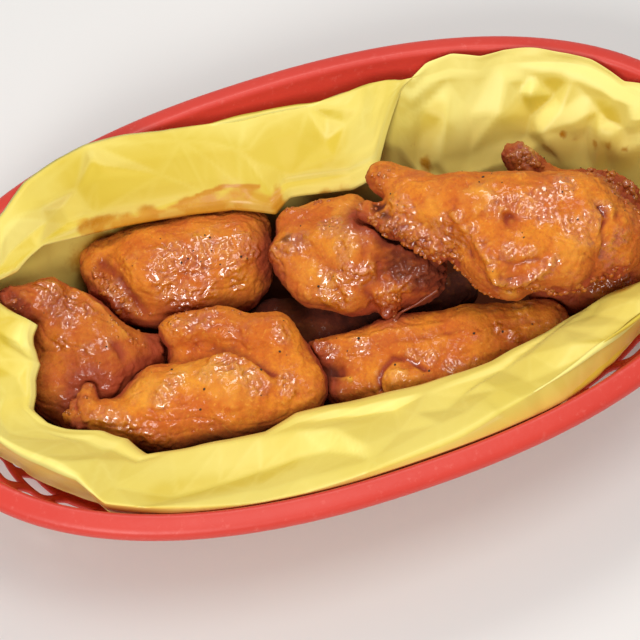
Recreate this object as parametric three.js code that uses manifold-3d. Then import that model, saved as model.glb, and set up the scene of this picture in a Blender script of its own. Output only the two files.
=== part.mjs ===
// Chicken wings served in an oval plastic basket lined with deli paper.
// Millimetres, +Z up. The origin is the centre of the basket's underside, and +X runs along the basket.

import * as THREE from "three";
import { mergeVertices } from "three/addons/utils/BufferGeometryUtils.js";
import Module from "manifold-3d";

const wasm = await Module();
wasm.setup();

// Basket: plan
const basketLength = 238;
const basketWidth = 138;
const ovalPower = 2.24; // 2 would be an ellipse, more is squarer
const rimSegments = 40;

// Basket: section. An inset is measured inwards from the outer edge of the rim.
const basketHeight = 46;
const floorThickness = 2.5;
const wallThickness = 1.8;
const bandHeight = 10; // the plain band under the rim
const bandInset = 9; // of the inner wall, at the foot of the band
const footInset = 30; // of the inner wall, at the floor
const wallCurve = 1.6; // 1 would be a straight cone, more is rounder
const wallRows = 3; // rows of slots between the floor and the band
const rimWidth = 4.5;
const rimThickness = 1.6;
const skirtDepth = 4.8;
const skirtThickness = 1.4;

// Basket: slots, in rows where each row is shifted by half a slot
const slotLength = 18;
const slotHeight = 5.6;
const wallSlots = 18; // in each row
const floorSlotColumns = 5;
const floorSlotRows = 3;
const floorSlotPitch = 24;
const slotDepth = 16; // of the cut, more than the wall is thick

// Paper liner
const paperThickness = 0.8;
const paperSegments = 36;
const paperFloorHeight = 3.5;
const paperFloorInset = 36;
const crestTurn = new THREE.Vector2(2, -0.4); // inset and height of the fold's inner side from the crest

// Wings
const pieceGap = 0.7; // between two wings, and between a wing and the paper
const blendWidth = 3; // how softly two lobes of a wing run into each other
const wingSegments = 22;
const wingRings = 14;
const buriedSegments = 16;
const buriedRings = 12;
const capShare = 0.25; // of a wing's rings, round each end of its spine
const bellyStretch = 1.25; // a wing is deeper below its middle than above it
const longestReach = 45; // from a wing's spine to its skin
const reachStep = 0.4;

// Numerical precision
const weldDistance = 1e-3;
const bisections = 24;

const halfLength = basketLength / 2;
const halfWidth = basketWidth / 2;

// ---- Plan of the basket ----

function signedPower(value, power) {
  return Math.sign(value) * Math.abs(value) ** power;
}

// The oval at an inset from the rim's outer edge, at a bearing in radians
function ovalPoint(bearing, inset) {
  const x = (halfLength - inset) * signedPower(Math.cos(bearing), 2 / ovalPower);
  const y = (halfWidth - inset) * signedPower(Math.sin(bearing), 2 / ovalPower);
  return new THREE.Vector2(x, y);
}

// The inset of the oval that passes through a point
function insetAt(x, y) {
  let low = -halfWidth;
  let high = halfWidth - 0.01;
  for (let step = 0; step < bisections; step++) {
    const inset = (low + high) / 2;
    const along = (Math.abs(x) / (halfLength - inset)) ** ovalPower;
    const across = (Math.abs(y) / (halfWidth - inset)) ** ovalPower;
    if (along + across > 1) {
      high = inset;
    } else {
      low = inset;
    }
  }
  return (low + high) / 2;
}

function bearingAt(x, y, inset) {
  const along = signedPower(x / (halfLength - inset), ovalPower / 2);
  const across = signedPower(y / (halfWidth - inset), ovalPower / 2);
  return Math.atan2(across, along);
}

// Turns a lathed ring round the Z axis into the oval: its radius becomes the half length.
// Inside the floor the oval shrinks evenly to its centre.
function makeOval(geometry) {
  const position = geometry.getAttribute("position");
  const floorHalfLength = halfLength - footInset;
  for (let i = 0; i < position.count; i++) {
    const radius = Math.hypot(position.getX(i), position.getY(i));
    const bearing = Math.atan2(position.getY(i), position.getX(i));
    const inset = Math.min(halfLength - radius, footInset);
    const shrink = Math.min(radius / floorHalfLength, 1);
    const point = ovalPoint(bearing, inset).multiplyScalar(shrink);
    position.setXY(i, point.x, point.y);
  }
  return geometry;
}

// ---- Solids ----

function closedGeometry(geometry) {
  geometry.deleteAttribute("normal");
  geometry.deleteAttribute("uv");
  return mergeVertices(geometry, weldDistance);
}

function toSolid(geometry) {
  const merged = closedGeometry(geometry);
  return new wasm.Manifold(
    new wasm.Mesh({
      numProp: 3,
      vertProperties: merged.getAttribute("position").array,
      triVerts: new Uint32Array(merged.index.array),
    }),
  );
}

function toGeometry(solid) {
  const mesh = solid.getMesh();
  const geometry = new THREE.BufferGeometry();
  geometry.setAttribute("position", new THREE.BufferAttribute(mesh.vertProperties, mesh.numProp));
  geometry.setIndex(new THREE.BufferAttribute(mesh.triVerts, 1));
  geometry.computeVertexNormals();
  return geometry;
}

function makeMesh(name, geometry, material) {
  const mesh = new THREE.Mesh(geometry, material);
  mesh.name = name;
  return mesh;
}

// ---- Basket ----

// The inset of the inner wall at a height
function wallInset(height) {
  const bandFoot = basketHeight - bandHeight;
  if (height >= bandFoot) {
    return THREE.MathUtils.mapLinear(height, bandFoot, basketHeight, bandInset, rimWidth);
  }
  const depth = (bandFoot - height) / (bandFoot - floorThickness);
  return bandInset + (footInset - bandInset) * depth ** wallCurve;
}

// How far the wall runs inwards for each millimetre down
function wallSlope(height) {
  return wallInset(height - 0.5) - wallInset(height + 0.5);
}

function wallLevels() {
  const bandFoot = basketHeight - bandHeight;
  const levels = [];
  for (let row = 0; row <= wallRows; row++) {
    levels.push(THREE.MathUtils.lerp(floorThickness, bandFoot, row / wallRows));
  }
  return levels;
}

function basketSection() {
  const section = [];
  const add = (inset, height) => section.push(new THREE.Vector2(halfLength - inset, height));
  const outerInset = (height) =>
    wallInset(height) - wallThickness * Math.hypot(1, wallSlope(height));
  const underRim = basketHeight - rimThickness;
  const skirtFoot = basketHeight - skirtDepth;

  add(halfLength, 0);
  add(footInset, 0);
  wallLevels().forEach((height) => add(outerInset(height), height));
  add(outerInset(underRim), underRim);
  add(skirtThickness, underRim);
  add(skirtThickness, skirtFoot);
  add(0, skirtFoot);
  add(0, basketHeight);
  add(rimWidth, basketHeight);
  wallLevels().reverse().forEach((height) => add(wallInset(height), height));
  add(halfLength, floorThickness);
  return section;
}

// One row of slots, each square to the sloping wall
function wallSlotRow(row) {
  const levels = wallLevels();
  const height = (levels[row] + levels[row + 1]) / 2;
  const outline = [];
  for (let i = 0; i < rimSegments; i++) {
    const point = ovalPoint((2 * Math.PI * i) / rimSegments, wallInset(height));
    outline.push(new THREE.Vector3(point.x, point.y, height));
  }
  const path = new THREE.CatmullRomCurve3(outline, true);
  const tilt = Math.atan(wallSlope(height));
  const slots = [];
  for (let i = 0; i < wallSlots; i++) {
    const share = ((i + (row % 2) / 2) / wallSlots) % 1;
    const place = path.getPointAt(share);
    const along = path.getTangentAt(share);
    const slot = new THREE.BoxGeometry(slotLength, slotDepth, slotHeight);
    slot.rotateX(tilt);
    slot.rotateZ(Math.atan2(along.y, along.x));
    slot.translate(place.x, place.y, place.z);
    slots.push(slot);
  }
  return slots;
}

function floorSlots() {
  const slots = [];
  for (let row = 0; row < floorSlotRows; row++) {
    const shift = (row % 2) / 2;
    const columns = floorSlotColumns - (row % 2);
    for (let column = 0; column < columns; column++) {
      const slot = new THREE.BoxGeometry(slotLength, slotHeight, slotDepth);
      slot.translate(
        (column + shift - (floorSlotColumns - 1) / 2) * floorSlotPitch,
        (row - (floorSlotRows - 1) / 2) * floorSlotPitch,
        0,
      );
      slots.push(slot);
    }
  }
  return slots;
}

function makeBasket() {
  const shell = new THREE.LatheGeometry(basketSection(), rimSegments);
  shell.rotateX(Math.PI / 2);
  const slots = floorSlots();
  for (let row = 0; row < wallRows; row++) {
    slots.push(...wallSlotRow(row));
  }
  const cuts = wasm.Manifold.union(slots.map(toSolid));
  return toGeometry(toSolid(makeOval(shell)).subtract(cuts));
}

// ---- Paper liner ----

// How the paper stands at some bearings, in degrees round the basket from +X: the height and inset of its
// crest and of its free edge, and how far its side leans in from the wall. A wide flap lies over the near
// side and the left end.
const paperShape = [
  { bearing: -180, crest: [44, 11], edge: [35, 33], lean: 0 },
  { bearing: -150, crest: [42, 12], edge: [32, 35], lean: 0 },
  { bearing: -120, crest: [41, 9], edge: [31, 34], lean: 0 },
  { bearing: -90, crest: [41, 8], edge: [33, 34], lean: 0 },
  { bearing: -60, crest: [42, 10], edge: [34, 31], lean: 0 },
  { bearing: -30, crest: [44, 11], edge: [38, 23], lean: 0 },
  { bearing: 0, crest: [45, 11], edge: [41, 17], lean: 0 },
  { bearing: 30, crest: [46, 10], edge: [43, 14], lean: 4 },
  { bearing: 50, crest: [48, 9], edge: [44, 13], lean: 8 },
  { bearing: 80, crest: [38, 10], edge: [35, 14], lean: 11 },
  { bearing: 110, crest: [48, 8], edge: [44, 12], lean: 8 },
  { bearing: 130, crest: [50, 8], edge: [45, 13], lean: 4 },
  { bearing: 150, crest: [46, 10], edge: [39, 20], lean: 0 },
  { bearing: 180, crest: [44, 11], edge: [35, 33], lean: 0 },
];

// The middle of the paper at a bearing, as points of inset and height, from the edge of the basket's floor
// up to the crest and over to the free edge. A rise is a share of the way out and of the way up to the crest.
function paperSection(bearing) {
  const degrees = THREE.MathUtils.radToDeg(bearing);
  const next = Math.max(paperShape.findIndex((row) => row.bearing >= degrees), 1);
  const before = paperShape[next - 1];
  const after = paperShape[next];
  const share = THREE.MathUtils.smoothstep(degrees, before.bearing, after.bearing);
  const mix = (one, other) => THREE.MathUtils.lerp(one, other, share);
  const point = (key) =>
    new THREE.Vector2(mix(before[key][1], after[key][1]), mix(before[key][0], after[key][0]));
  const crest = point("crest");
  const edge = point("edge");
  const lean = mix(before.lean, after.lean);
  const rise = (out, up) =>
    new THREE.Vector2(
      THREE.MathUtils.lerp(paperFloorInset, crest.x, out) + lean * Math.sin(Math.PI * out),
      THREE.MathUtils.lerp(paperFloorHeight, crest.y, up),
    );
  return [
    rise(0, 0),
    rise(0.5, 0.25),
    rise(0.8, 0.6),
    rise(0.93, 0.85),
    crest,
    crest.clone().add(crestTurn),
    crest.clone().lerp(edge, 0.6),
    edge,
  ];
}

// The section moved to one side of the paper: -1 is its outside and the top of the flap
function paperFace(section, side) {
  return section.map((point, i) => {
    const before = section[Math.max(i - 1, 0)];
    const after = section[Math.min(i + 1, section.length - 1)];
    const along = after.clone().sub(before).normalize();
    const across = new THREE.Vector2(-along.y, along.x).multiplyScalar(side * -paperThickness / 2);
    return point.clone().add(across);
  });
}

// The lathed blank only gives the order of the points: round the basket, and from the middle of the floor
// along the outside, over the free edge and back along the inside.
function makeLiner() {
  const stations = paperSection(0).length + 2;
  const blank = [];
  for (let i = 0; i < 2 * stations; i++) {
    blank.push(new THREE.Vector2(i % (2 * stations - 1) ? 1 : 0, 0));
  }
  const geometry = new THREE.LatheGeometry(blank, paperSegments);
  geometry.rotateX(Math.PI / 2);
  const position = geometry.getAttribute("position");
  for (let i = 0; i < position.count; i++) {
    const bearing = Math.atan2(position.getY(i), position.getX(i));
    const row = i % (2 * stations);
    const inside = row >= stations;
    const station = inside ? 2 * stations - 1 - row : row;
    const face = paperFace(paperSection(bearing), inside ? 1 : -1);
    const onFloor = Math.min(station / 2, 1); // the first station is the centre, the next is half way out
    const point = face[Math.max(station - 2, 0)];
    const plan = ovalPoint(bearing, point.x).multiplyScalar(onFloor);
    position.setXYZ(i, plan.x, plan.y, point.y);
  }
  return geometry;
}

// The distance from a point to the middle of the paper
function paperDistance(point) {
  const inset = insetAt(point.x, point.y);
  const section = paperSection(bearingAt(point.x, point.y, inset));
  const place = new THREE.Vector3(inset, point.z, 0);
  const nearest = new THREE.Vector3();
  const line = new THREE.Line3();
  let distance = Math.abs(point.z - paperFloorHeight);
  if (inset < paperFloorInset) {
    distance = Infinity;
  }
  for (let i = 1; i < section.length; i++) {
    line.start.set(section[i - 1].x, section[i - 1].y, 0);
    line.end.set(section[i].x, section[i].y, 0);
    line.closestPointToPoint(place, true, nearest);
    distance = Math.min(distance, nearest.distanceTo(place));
  }
  return distance;
}

// ---- Wings ----

// A lobe is a rounded bulge that tapers from one point and radius to another. A wing is a few of them run
// into each other, and its surface is found by looking outwards from a straight spine inside it.
function lobe(from, fromRadius, to, toRadius) {
  const line = new THREE.Line3(new THREE.Vector3(...from), new THREE.Vector3(...to));
  return { line, fromRadius, toRadius };
}

// Each wing gives way to those before it in this list, so the ones that lie on top come first.
const wings = [
  {
    name: "wing_top_right",
    spine: [[31, 7, 47], [64, -10, 46]],
    lobes: [
      lobe([23, 21, 48], 5, [29, 13, 48], 5.5), // far knuckle
      lobe([15, 14, 46], 3, [21, 9, 45], 4.5), // near knuckle
      lobe([27, 10, 48], 7.5, [40, 2, 49], 9.5), // neck
      lobe([40, 2, 49], 10.5, [66, -9, 48], 12.5), // meat
      lobe([22, 8, 45], 4.5, [30, -2, 44], 4.5), // crisp skin under the knuckles
      lobe([43, -13, 47], 10, [58, -18, 47], 10.5), // near side of the meat
      lobe([65, -11, 47], 11.5, [76, -15, 45], 10), // end joint
      lobe([70, -2, 46], 7, [77, -6, 44], 7), // end joint, far side
      lobe([36, -9, 44], 5, [43, -20, 43], 4.5), // skin edge
      lobe([59, -16, 45], 8.5, [73, -20, 43], 7), // skin under the end joint
    ],
  },
  {
    name: "wing_middle",
    spine: [[1, 14, 32], [21, 4, 31]],
    lobes: [
      lobe([-7, 17, 34], 5.5, [-4, 6, 31], 6.5), // left edge
      lobe([-2, 24, 34], 5.5, [13, 21, 36], 5.5), // far edge
      lobe([0, 17, 32], 9, [11, 9, 34], 11.5), // meat
      lobe([12, 12, 34], 10, [23, 5, 32], 11.5), // meat, right end
      lobe([5, 2, 30], 7.5, [25, -3, 28], 8), // near side
      lobe([13, -2, 29], 4.5, [14, -7, 26], 1.8), // hanging drip of skin
    ],
  },
  {
    name: "wing_front_left",
    spine: [[-58, -9, 24], [-25, -11, 25]],
    lobes: [
      lobe([-75, -4, 28], 3, [-75, -9, 26], 3.6), // crisp nub
      lobe([-74, -7, 26], 4, [-67, -10, 24], 6), // thin end
      lobe([-66, -9, 23], 7, [-54, -11, 22], 11.5), // shoulder
      lobe([-54, -11, 22], 11.5, [-36, -17, 22], 12.5), // meat
      lobe([-36, -17, 22], 12.5, [-20, -19, 22], 9.5), // meat, right end
      lobe([-43, 7, 28], 5, [-32, 1, 30], 6), // bent arm, far end
      lobe([-32, 1, 30], 6, [-20, -9, 29], 8), // bent arm
      lobe([-42, 3, 23], 6, [-24, -7, 23], 8), // web of meat under the arm
      lobe([-20, -9, 29], 8, [-18, -19, 24], 7.5), // elbow
    ],
  },
  {
    name: "wing_left",
    spine: [[-70, 22, 25], [-66, 10, 22]],
    lobes: [
      lobe([-83, 28, 36], 4.2, [-74, 26, 33], 5.5), // knuckle
      lobe([-72, 27, 29], 7, [-68, 19, 24], 11), // shoulder
      lobe([-69, 19, 22], 12.5, [-64, 10, 22], 11), // meat
      lobe([-77, 9, 21], 8, [-64, 5, 21], 9), // near side
      lobe([-60, 9, 22], 7, [-49, 8, 21], 4.5), // tail of skin
    ],
  },
  {
    name: "wing_front_right",
    spine: [[6, -15, 20], [44, -22, 20]],
    lobes: [
      lobe([-8, -11, 23], 4.5, [13, -16, 21], 9), // far end
      lobe([13, -17, 20], 10.5, [31, -22, 20], 11), // meat
      lobe([32, -21, 20], 11, [53, -23, 21], 7), // right end
      lobe([7, -27, 23], 5.2, [22, -30, 21], 7), // round lobe
      lobe([-5, -20, 19], 6, [4, -23, 19], 7), // bone end
    ],
  },
  {
    name: "wing_far_left",
    spine: [[-46, 30, 24], [-27, 25, 24]],
    lobes: [
      lobe([-52, 37, 24], 7.5, [-40, 30, 25], 11), // joint end
      lobe([-41, 30, 25], 12, [-23, 25, 25], 12.5), // meat
      lobe([-40, 38, 23], 7.5, [-17, 31, 25], 7.5), // far edge
      lobe([-60, 38, 25], 4.5, [-54, 29, 22], 7), // lumpy joint
      lobe([-54, 29, 22], 7, [-45, 23, 21], 7.5), // lumpy joint, near side
      lobe([-34, 21, 23], 9.5, [-22, 20, 23], 9), // near edge
    ],
  },
  {
    name: "wing_under_right",
    buried: true,
    spine: [[72, 11, 27], [75, -8, 22]],
    lobes: [
      lobe([63, 22, 36], 4.2, [67, 15, 32], 5), // knuckle
      lobe([69, 13, 28], 6.5, [82, 4, 30], 8), // far edge
      lobe([83, 1, 30], 8, [80, -16, 28], 7.5), // right edge
      lobe([61, -12, 21], 8, [77, -17, 24], 8), // near edge
      lobe([76, 3, 22], 12, [73, -9, 21], 12), // meat
    ],
  },
  {
    name: "wing_under_middle",
    buried: true,
    spine: [[-8, 4, 12], [10, -1, 11]],
    lobes: [
      lobe([-14, 8, 14], 8, [-2, 1, 14], 9), // left end
      lobe([-2, 1, 14], 9, [16, -1, 12], 8), // meat
    ],
  },
];

function lobeDistance({ line, fromRadius, toRadius }, point) {
  const share = line.closestPointToPointParameter(point, true);
  const radius = THREE.MathUtils.lerp(fromRadius, toRadius, share);
  return line.at(share, new THREE.Vector3()).distanceTo(point) - radius;
}

function softMinimum(one, other) {
  const blend = Math.max(blendWidth - Math.abs(one - other), 0) / blendWidth;
  return Math.min(one, other) - (blend * blend * blendWidth) / 4;
}

// The distance from a wing's surface, below zero inside it
function wingDistance(wing, point) {
  const middle = (wing.spine[0][2] + wing.spine[1][2]) / 2;
  const felt = point.clone();
  if (felt.z < middle) {
    felt.z = middle + (felt.z - middle) / bellyStretch;
  }
  return wing.lobes.map((part) => lobeDistance(part, felt)).reduce(softMinimum);
}

// Where a look outwards from the spine leaves the wing for the last time, or reaches a neighbour
function surfacePoint(wing, neighbours, start, direction) {
  const point = new THREE.Vector3();
  let edge = 0;
  for (let reach = 0; reach < longestReach; reach += reachStep) {
    point.copy(start).addScaledVector(direction, reach);
    const blocked =
      neighbours.some((other) => wingDistance(other, point) < pieceGap) ||
      paperDistance(point) < pieceGap + paperThickness / 2;
    if (blocked) {
      edge = Math.min(edge, reach - reachStep);
      break;
    }
    const distance = wingDistance(wing, point);
    if (distance < 0) {
      edge = reach - distance;
    }
  }
  return point.copy(start).addScaledVector(direction, edge);
}

// A sphere whose poles lie on the spine: its end caps look outwards all round the spine's two ends, and
// the rings between them look square to the spine.
function makeWing(wing, neighbours) {
  const rings = wing.buried ? buriedRings : wingRings;
  const geometry = new THREE.SphereGeometry(1, wing.buried ? buriedSegments : wingSegments, rings);
  const from = new THREE.Vector3(...wing.spine[0]);
  const to = new THREE.Vector3(...wing.spine[1]);
  const axis = to.clone().sub(from).normalize();
  const turn = new THREE.Quaternion().setFromUnitVectors(new THREE.Vector3(0, -1, 0), axis);
  const position = geometry.getAttribute("position");
  for (let i = 0; i < position.count; i++) {
    const onSphere = new THREE.Vector3().fromBufferAttribute(position, i);
    const polar = Math.acos(THREE.MathUtils.clamp(onSphere.y, -1, 1)) / Math.PI;
    const around = Math.atan2(onSphere.z, onSphere.x);
    const share = THREE.MathUtils.clamp((polar - capShare) / (1 - 2 * capShare), 0, 1);
    const start = from.clone().lerp(to, share);
    const headCap = Math.min(polar / capShare, 1);
    const tailCap = Math.min((1 - polar) / capShare, 1);
    const tilt = (Math.PI / 2) * (headCap + 1 - tailCap);
    const direction = new THREE.Vector3(
      Math.sin(tilt) * Math.cos(around),
      Math.cos(tilt),
      Math.sin(tilt) * Math.sin(around),
    );
    const point = surfacePoint(wing, neighbours, start, direction.applyQuaternion(turn));
    position.setXYZ(i, point.x, point.y, point.z);
  }
  return geometry;
}

// ---- Serving ----

const redPlastic = new THREE.MeshStandardMaterial({ color: 0xd3262a, roughness: 0.3, metalness: 0 });
const yellowPaper = new THREE.MeshStandardMaterial({ color: 0xf0dc6a, roughness: 0.7, metalness: 0 });
const saucedSkin = new THREE.MeshStandardMaterial({ color: 0xc4682a, roughness: 0.35, metalness: 0 });

const serving = new THREE.Group();
serving.add(makeMesh("basket", makeBasket(), redPlastic.clone()));
serving.add(makeMesh("liner", makeLiner(), yellowPaper.clone()));
wings.forEach((wing, i) => {
  serving.add(makeMesh(wing.name, makeWing(wing, wings.slice(0, i)), saucedSkin.clone()));
});

export default serving;
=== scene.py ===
import math
import random

import bmesh
import bpy
import numpy as np
from mathutils import Matrix, Vector
from mathutils.bvhtree import BVHTree
from mathutils.geometry import delaunay_2d_cdt


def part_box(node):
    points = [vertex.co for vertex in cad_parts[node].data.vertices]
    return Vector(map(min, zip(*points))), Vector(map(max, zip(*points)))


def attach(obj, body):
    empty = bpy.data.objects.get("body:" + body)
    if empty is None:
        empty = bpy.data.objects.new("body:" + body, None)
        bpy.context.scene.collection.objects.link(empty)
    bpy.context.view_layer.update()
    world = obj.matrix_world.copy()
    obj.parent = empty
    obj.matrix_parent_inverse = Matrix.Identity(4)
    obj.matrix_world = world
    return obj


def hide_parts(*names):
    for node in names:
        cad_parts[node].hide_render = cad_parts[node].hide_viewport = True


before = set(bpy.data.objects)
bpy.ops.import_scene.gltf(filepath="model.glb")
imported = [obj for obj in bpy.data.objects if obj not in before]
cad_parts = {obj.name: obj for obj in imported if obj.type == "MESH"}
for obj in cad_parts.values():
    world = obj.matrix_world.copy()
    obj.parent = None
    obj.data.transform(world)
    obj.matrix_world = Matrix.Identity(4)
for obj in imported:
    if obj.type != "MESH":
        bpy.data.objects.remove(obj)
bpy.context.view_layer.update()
mm = 0.001  # shapes are worked out in millimetres, and their meshes are written in metres
bpy.context.scene.view_settings.view_transform = "Standard"


# settings of the noise that shapes and colours are varied with
noiseStyle = {
    "seed": 7,
    "arrows": 1024,  # a power of two
    "mixers": (73856093, 19349663, 83492791),  # large primes that turn a cell's place into an arrow's number
    "seedShift": 31.7,
    "height": 1.7,  # brings the noise to about -1 to 1
    "cellShift": 17.3,
    "cellWander": 0.42,
}
noiseArrows = np.random.RandomState(noiseStyle["seed"]).normal(size=(noiseStyle["arrows"], 3))
noiseArrows /= np.linalg.norm(noiseArrows, axis=1)[:, None]


def arrowAt(cell):
    a, b, c = noiseStyle["mixers"]
    mixed = cell[:, 0] * a ^ cell[:, 1] * b ^ cell[:, 2] * c
    return noiseArrows[mixed & (noiseStyle["arrows"] - 1)]


# smooth noise between about -1 and 1, with bumps of the given size
def noiseAt(points, size, seed):
    place = points / size + seed * noiseStyle["seedShift"]
    cell = np.floor(place).astype(np.int64)
    part = place - cell
    ease = part**3 * (part * (part * 6 - 15) + 10)
    total = np.zeros(len(points))
    for corner in np.ndindex(2, 2, 2):
        shift = np.array(corner)
        share = np.prod(np.where(shift, ease, 1 - ease), axis=1)
        total += share * ((part - shift) * arrowAt(cell + shift)).sum(axis=1)
    return total * noiseStyle["height"]


def layeredNoise(points, size, seed, layers=3):
    return sum(noiseAt(points, size / 2**i, seed + i) / 2**i for i in range(layers))


# distance to the nearest of many scattered centres, as a share of their spacing
def cellDistance(points, size, seed):
    place = points / size + seed * noiseStyle["cellShift"]
    cell = np.floor(place).astype(np.int64)
    nearest = np.full(len(points), 9.0)
    for corner in np.ndindex(3, 3, 3):
        other = cell + np.array(corner) - 1
        centre = other + 0.5 + noiseStyle["cellWander"] * arrowAt(other + seed)
        nearest = np.minimum(nearest, np.linalg.norm(place - centre, axis=1))
    return nearest


def smoothRamp(values, low, high):
    share = np.clip((values - low) / (high - low), 0, 1)
    return share * share * (3 - 2 * share)


# a bell that is 1 where the distance is 0
def hump(distance, width):
    return np.exp(-((distance / width) ** 2))


# the value at a place, from rows of places and values
def valueAt(rows, place):
    return np.interp(place, *zip(*rows))


def newObject(name, mesh):
    obj = bpy.data.objects.new(name, mesh)
    bpy.context.scene.collection.objects.link(obj)
    return obj


def meshFrom(bm, name):
    mesh = bpy.data.meshes.new(name)
    bm.to_mesh(mesh)
    bm.free()
    return mesh


def withModifier(mesh, kind, settings):
    obj = newObject("blank", mesh)
    modifier = obj.modifiers.new(kind, kind)
    for key, value in settings.items():
        setattr(modifier, key, value)
    evaluated = obj.evaluated_get(bpy.context.evaluated_depsgraph_get())
    result = bpy.data.meshes.new_from_object(evaluated)
    bpy.data.objects.remove(obj)
    bpy.data.meshes.remove(mesh)
    return result


def readPoints(mesh):
    points = np.empty(len(mesh.vertices) * 3)
    mesh.vertices.foreach_get("co", points)
    return points.reshape(-1, 3)


def writePoints(mesh, points):
    mesh.vertices.foreach_set("co", points.ravel())
    mesh.update()


def readNormals(mesh):
    normals = np.empty(len(mesh.vertices) * 3)
    mesh.vertex_normals.foreach_get("vector", normals)
    return normals.reshape(-1, 3)


def readEdges(mesh):
    edges = np.empty(len(mesh.edges) * 2, dtype=np.int32)
    mesh.edges.foreach_get("vertices", edges)
    return edges.reshape(-1, 2)


# draws each point towards the mean of its neighbours, a number of times over
def smoothed(values, edges, passes, strength=0.6):
    count = np.bincount(edges.ravel(), minlength=len(values))[:, None]
    for _ in range(passes):
        total = np.zeros_like(values)
        for axis in range(values.shape[1]):
            total[:, axis] = np.bincount(edges[:, 0], values[edges[:, 1], axis], len(values))
            total[:, axis] += np.bincount(edges[:, 1], values[edges[:, 0], axis], len(values))
        values = values + strength * (total / np.maximum(count, 1) - values)
    return values


def treeOf(mesh):
    points = [vertex.co.copy() for vertex in mesh.vertices]
    return BVHTree.FromPolygons(points, [list(face.vertices) for face in mesh.polygons])


# moves points out of a closed shape until they are a gap clear of it
def clearOf(points, tree, gap, reach):
    for i, point in enumerate(points):
        place, normal, _, distance = tree.find_nearest(Vector(point), reach)
        if place is None:
            continue
        inside = (Vector(point) - place).dot(normal) < 0
        if inside or distance < gap:
            points[i] = place + normal * gap
    return points


def addPaint(mesh, name, colours):
    attribute = mesh.color_attributes.new(name, "FLOAT_COLOR", "POINT")
    attribute.data.foreach_set("color", colours.astype(np.float32).ravel())


def finishPiece(name, mesh, material, nodes=()):
    mesh.transform(Matrix.Scale(mm, 4))
    mesh.polygons.foreach_set("use_smooth", [True] * len(mesh.polygons))
    mesh.materials.clear()
    mesh.materials.append(material)
    obj = newObject(name, mesh)
    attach(obj, "root")
    if nodes:
        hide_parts(*nodes)
    print("made", name, len(mesh.polygons), "faces")


class Signal:  # a socket that can be calculated with: each operator adds a Math node
    def __init__(self, shader, socket):
        self.shader = shader
        self.socket = socket

    def math(self, operation, first, second):
        return self.shader.node("ShaderNodeMath", {"operation": operation}, {0: first, 1: second})

    def __add__(self, other):
        return self.math("ADD", self, other)

    def __radd__(self, other):
        return self.math("ADD", other, self)

    def __sub__(self, other):
        return self.math("SUBTRACT", self, other)

    def __rsub__(self, other):
        return self.math("SUBTRACT", other, self)

    def __mul__(self, other):
        return self.math("MULTIPLY", self, other)

    def __rmul__(self, other):
        return self.math("MULTIPLY", other, self)


class Shader:  # one material and its nodes
    def __init__(self, name, **surface):
        self.material = bpy.data.materials.new(name)
        self.material.use_nodes = True
        self.tree = self.material.node_tree
        self.surface = self.tree.nodes["Principled BSDF"]
        for key, value in surface.items():
            self.surface.inputs[key.replace("_", " ")].default_value = value
        self.place = self.node("ShaderNodeTexCoord", {}, {}, "Object")

    # any node: its settings are set first, then its sockets' values or links
    def node(self, kind, settings, inputs, output=0):
        made = self.tree.nodes.new(kind)
        for key, value in settings.items():
            setattr(made, key, value)
        for key, value in inputs.items():
            self.feed(made.inputs[key], value)
        return Signal(self, made.outputs[output])

    def feed(self, socket, value):
        if isinstance(value, Signal):
            self.tree.links.new(value.socket, socket)
        else:
            socket.default_value = value

    def use(self, name, value):  # for a socket of the surface
        self.feed(self.surface.inputs[name], value)

    # noise with bumps of a size in millimetres, from 0 to 1
    def noise(self, size, detail=2.0, roughness=0.5):
        inputs = {"Vector": self.place, "Scale": 1 / (size * mm), "Detail": detail, "Roughness": roughness}
        return self.node("ShaderNodeTexNoise", {}, inputs, "Fac")

    def between(self, value, low, high):  # rises smoothly from 0 at low to 1 at high
        inputs = {"Value": value, "From Min": low, "From Max": high}
        return self.node("ShaderNodeMapRange", {"interpolation_type": "SMOOTHSTEP"}, inputs)

    def mix(self, share, first, second):
        inputs = {"Factor": share}
        for key, colour in ((6, first), (7, second)):
            inputs[key] = colour if isinstance(colour, Signal) else (*colour, 1)
        return self.node("ShaderNodeMix", {"data_type": "RGBA"}, inputs, 2)

    def bump(self, height, depth, strength=1.0, under=None):
        inputs = {"Height": height, "Distance": depth * mm, "Strength": strength}
        if under:
            inputs["Normal"] = under
        return self.node("ShaderNodeBump", {}, inputs)

    def attribute(self, name):  # its three channels
        colour = self.node("ShaderNodeAttribute", {"attribute_name": name}, {}, "Color")
        split = self.node("ShaderNodeSeparateColor", {}, {"Color": colour}, 0)
        return [Signal(self, output) for output in split.socket.node.outputs]


plasticColours = {"shade": (0.62, 0.040, 0.026), "light": (0.71, 0.058, 0.036), "scuff": (0.85, 0.20, 0.16)}


def makePlastic():
    shader = Shader("red_plastic", Specular_IOR_Level=0.4)
    colour = shader.mix(shader.noise(26, 3), plasticColours["shade"], plasticColours["light"])
    scuffs = shader.between(shader.noise(2.5, 5, roughness=0.7), 0.56, 0.72)
    shader.use("Base Color", shader.mix(0.3 * scuffs, colour, plasticColours["scuff"]))
    shader.use("Roughness", 0.33 + 0.18 * shader.noise(5, 4))
    grain = shader.bump(shader.noise(1.1, 2), 0.12, 0.35)
    shader.use("Normal", shader.bump(shader.noise(9, 2), 0.5, 0.25, grain))
    return shader.material


paperColours = {
    "clean": ((0.79, 0.63, 0.11), (0.84, 0.69, 0.155)),
    # painted light on paler facets
    "pale": (0.95, 0.83, 0.24),
    # painted shade on facets turned from the light
    "strong": (0.70, 0.52, 0.05),
    # painted light: paler, warmer yellow for the paper low in the basket, where shade falls
    "low": (0.98, 0.74, 0.17),  # down in the basket
    "oily": ((0.52, 0.19, 0.012), (0.70, 0.37, 0.035)),
    # sauce soak and painted shade, near black, at the bottom between the wings
    "soakedShade": (0.10, 0.02, 0.005),
}


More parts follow.
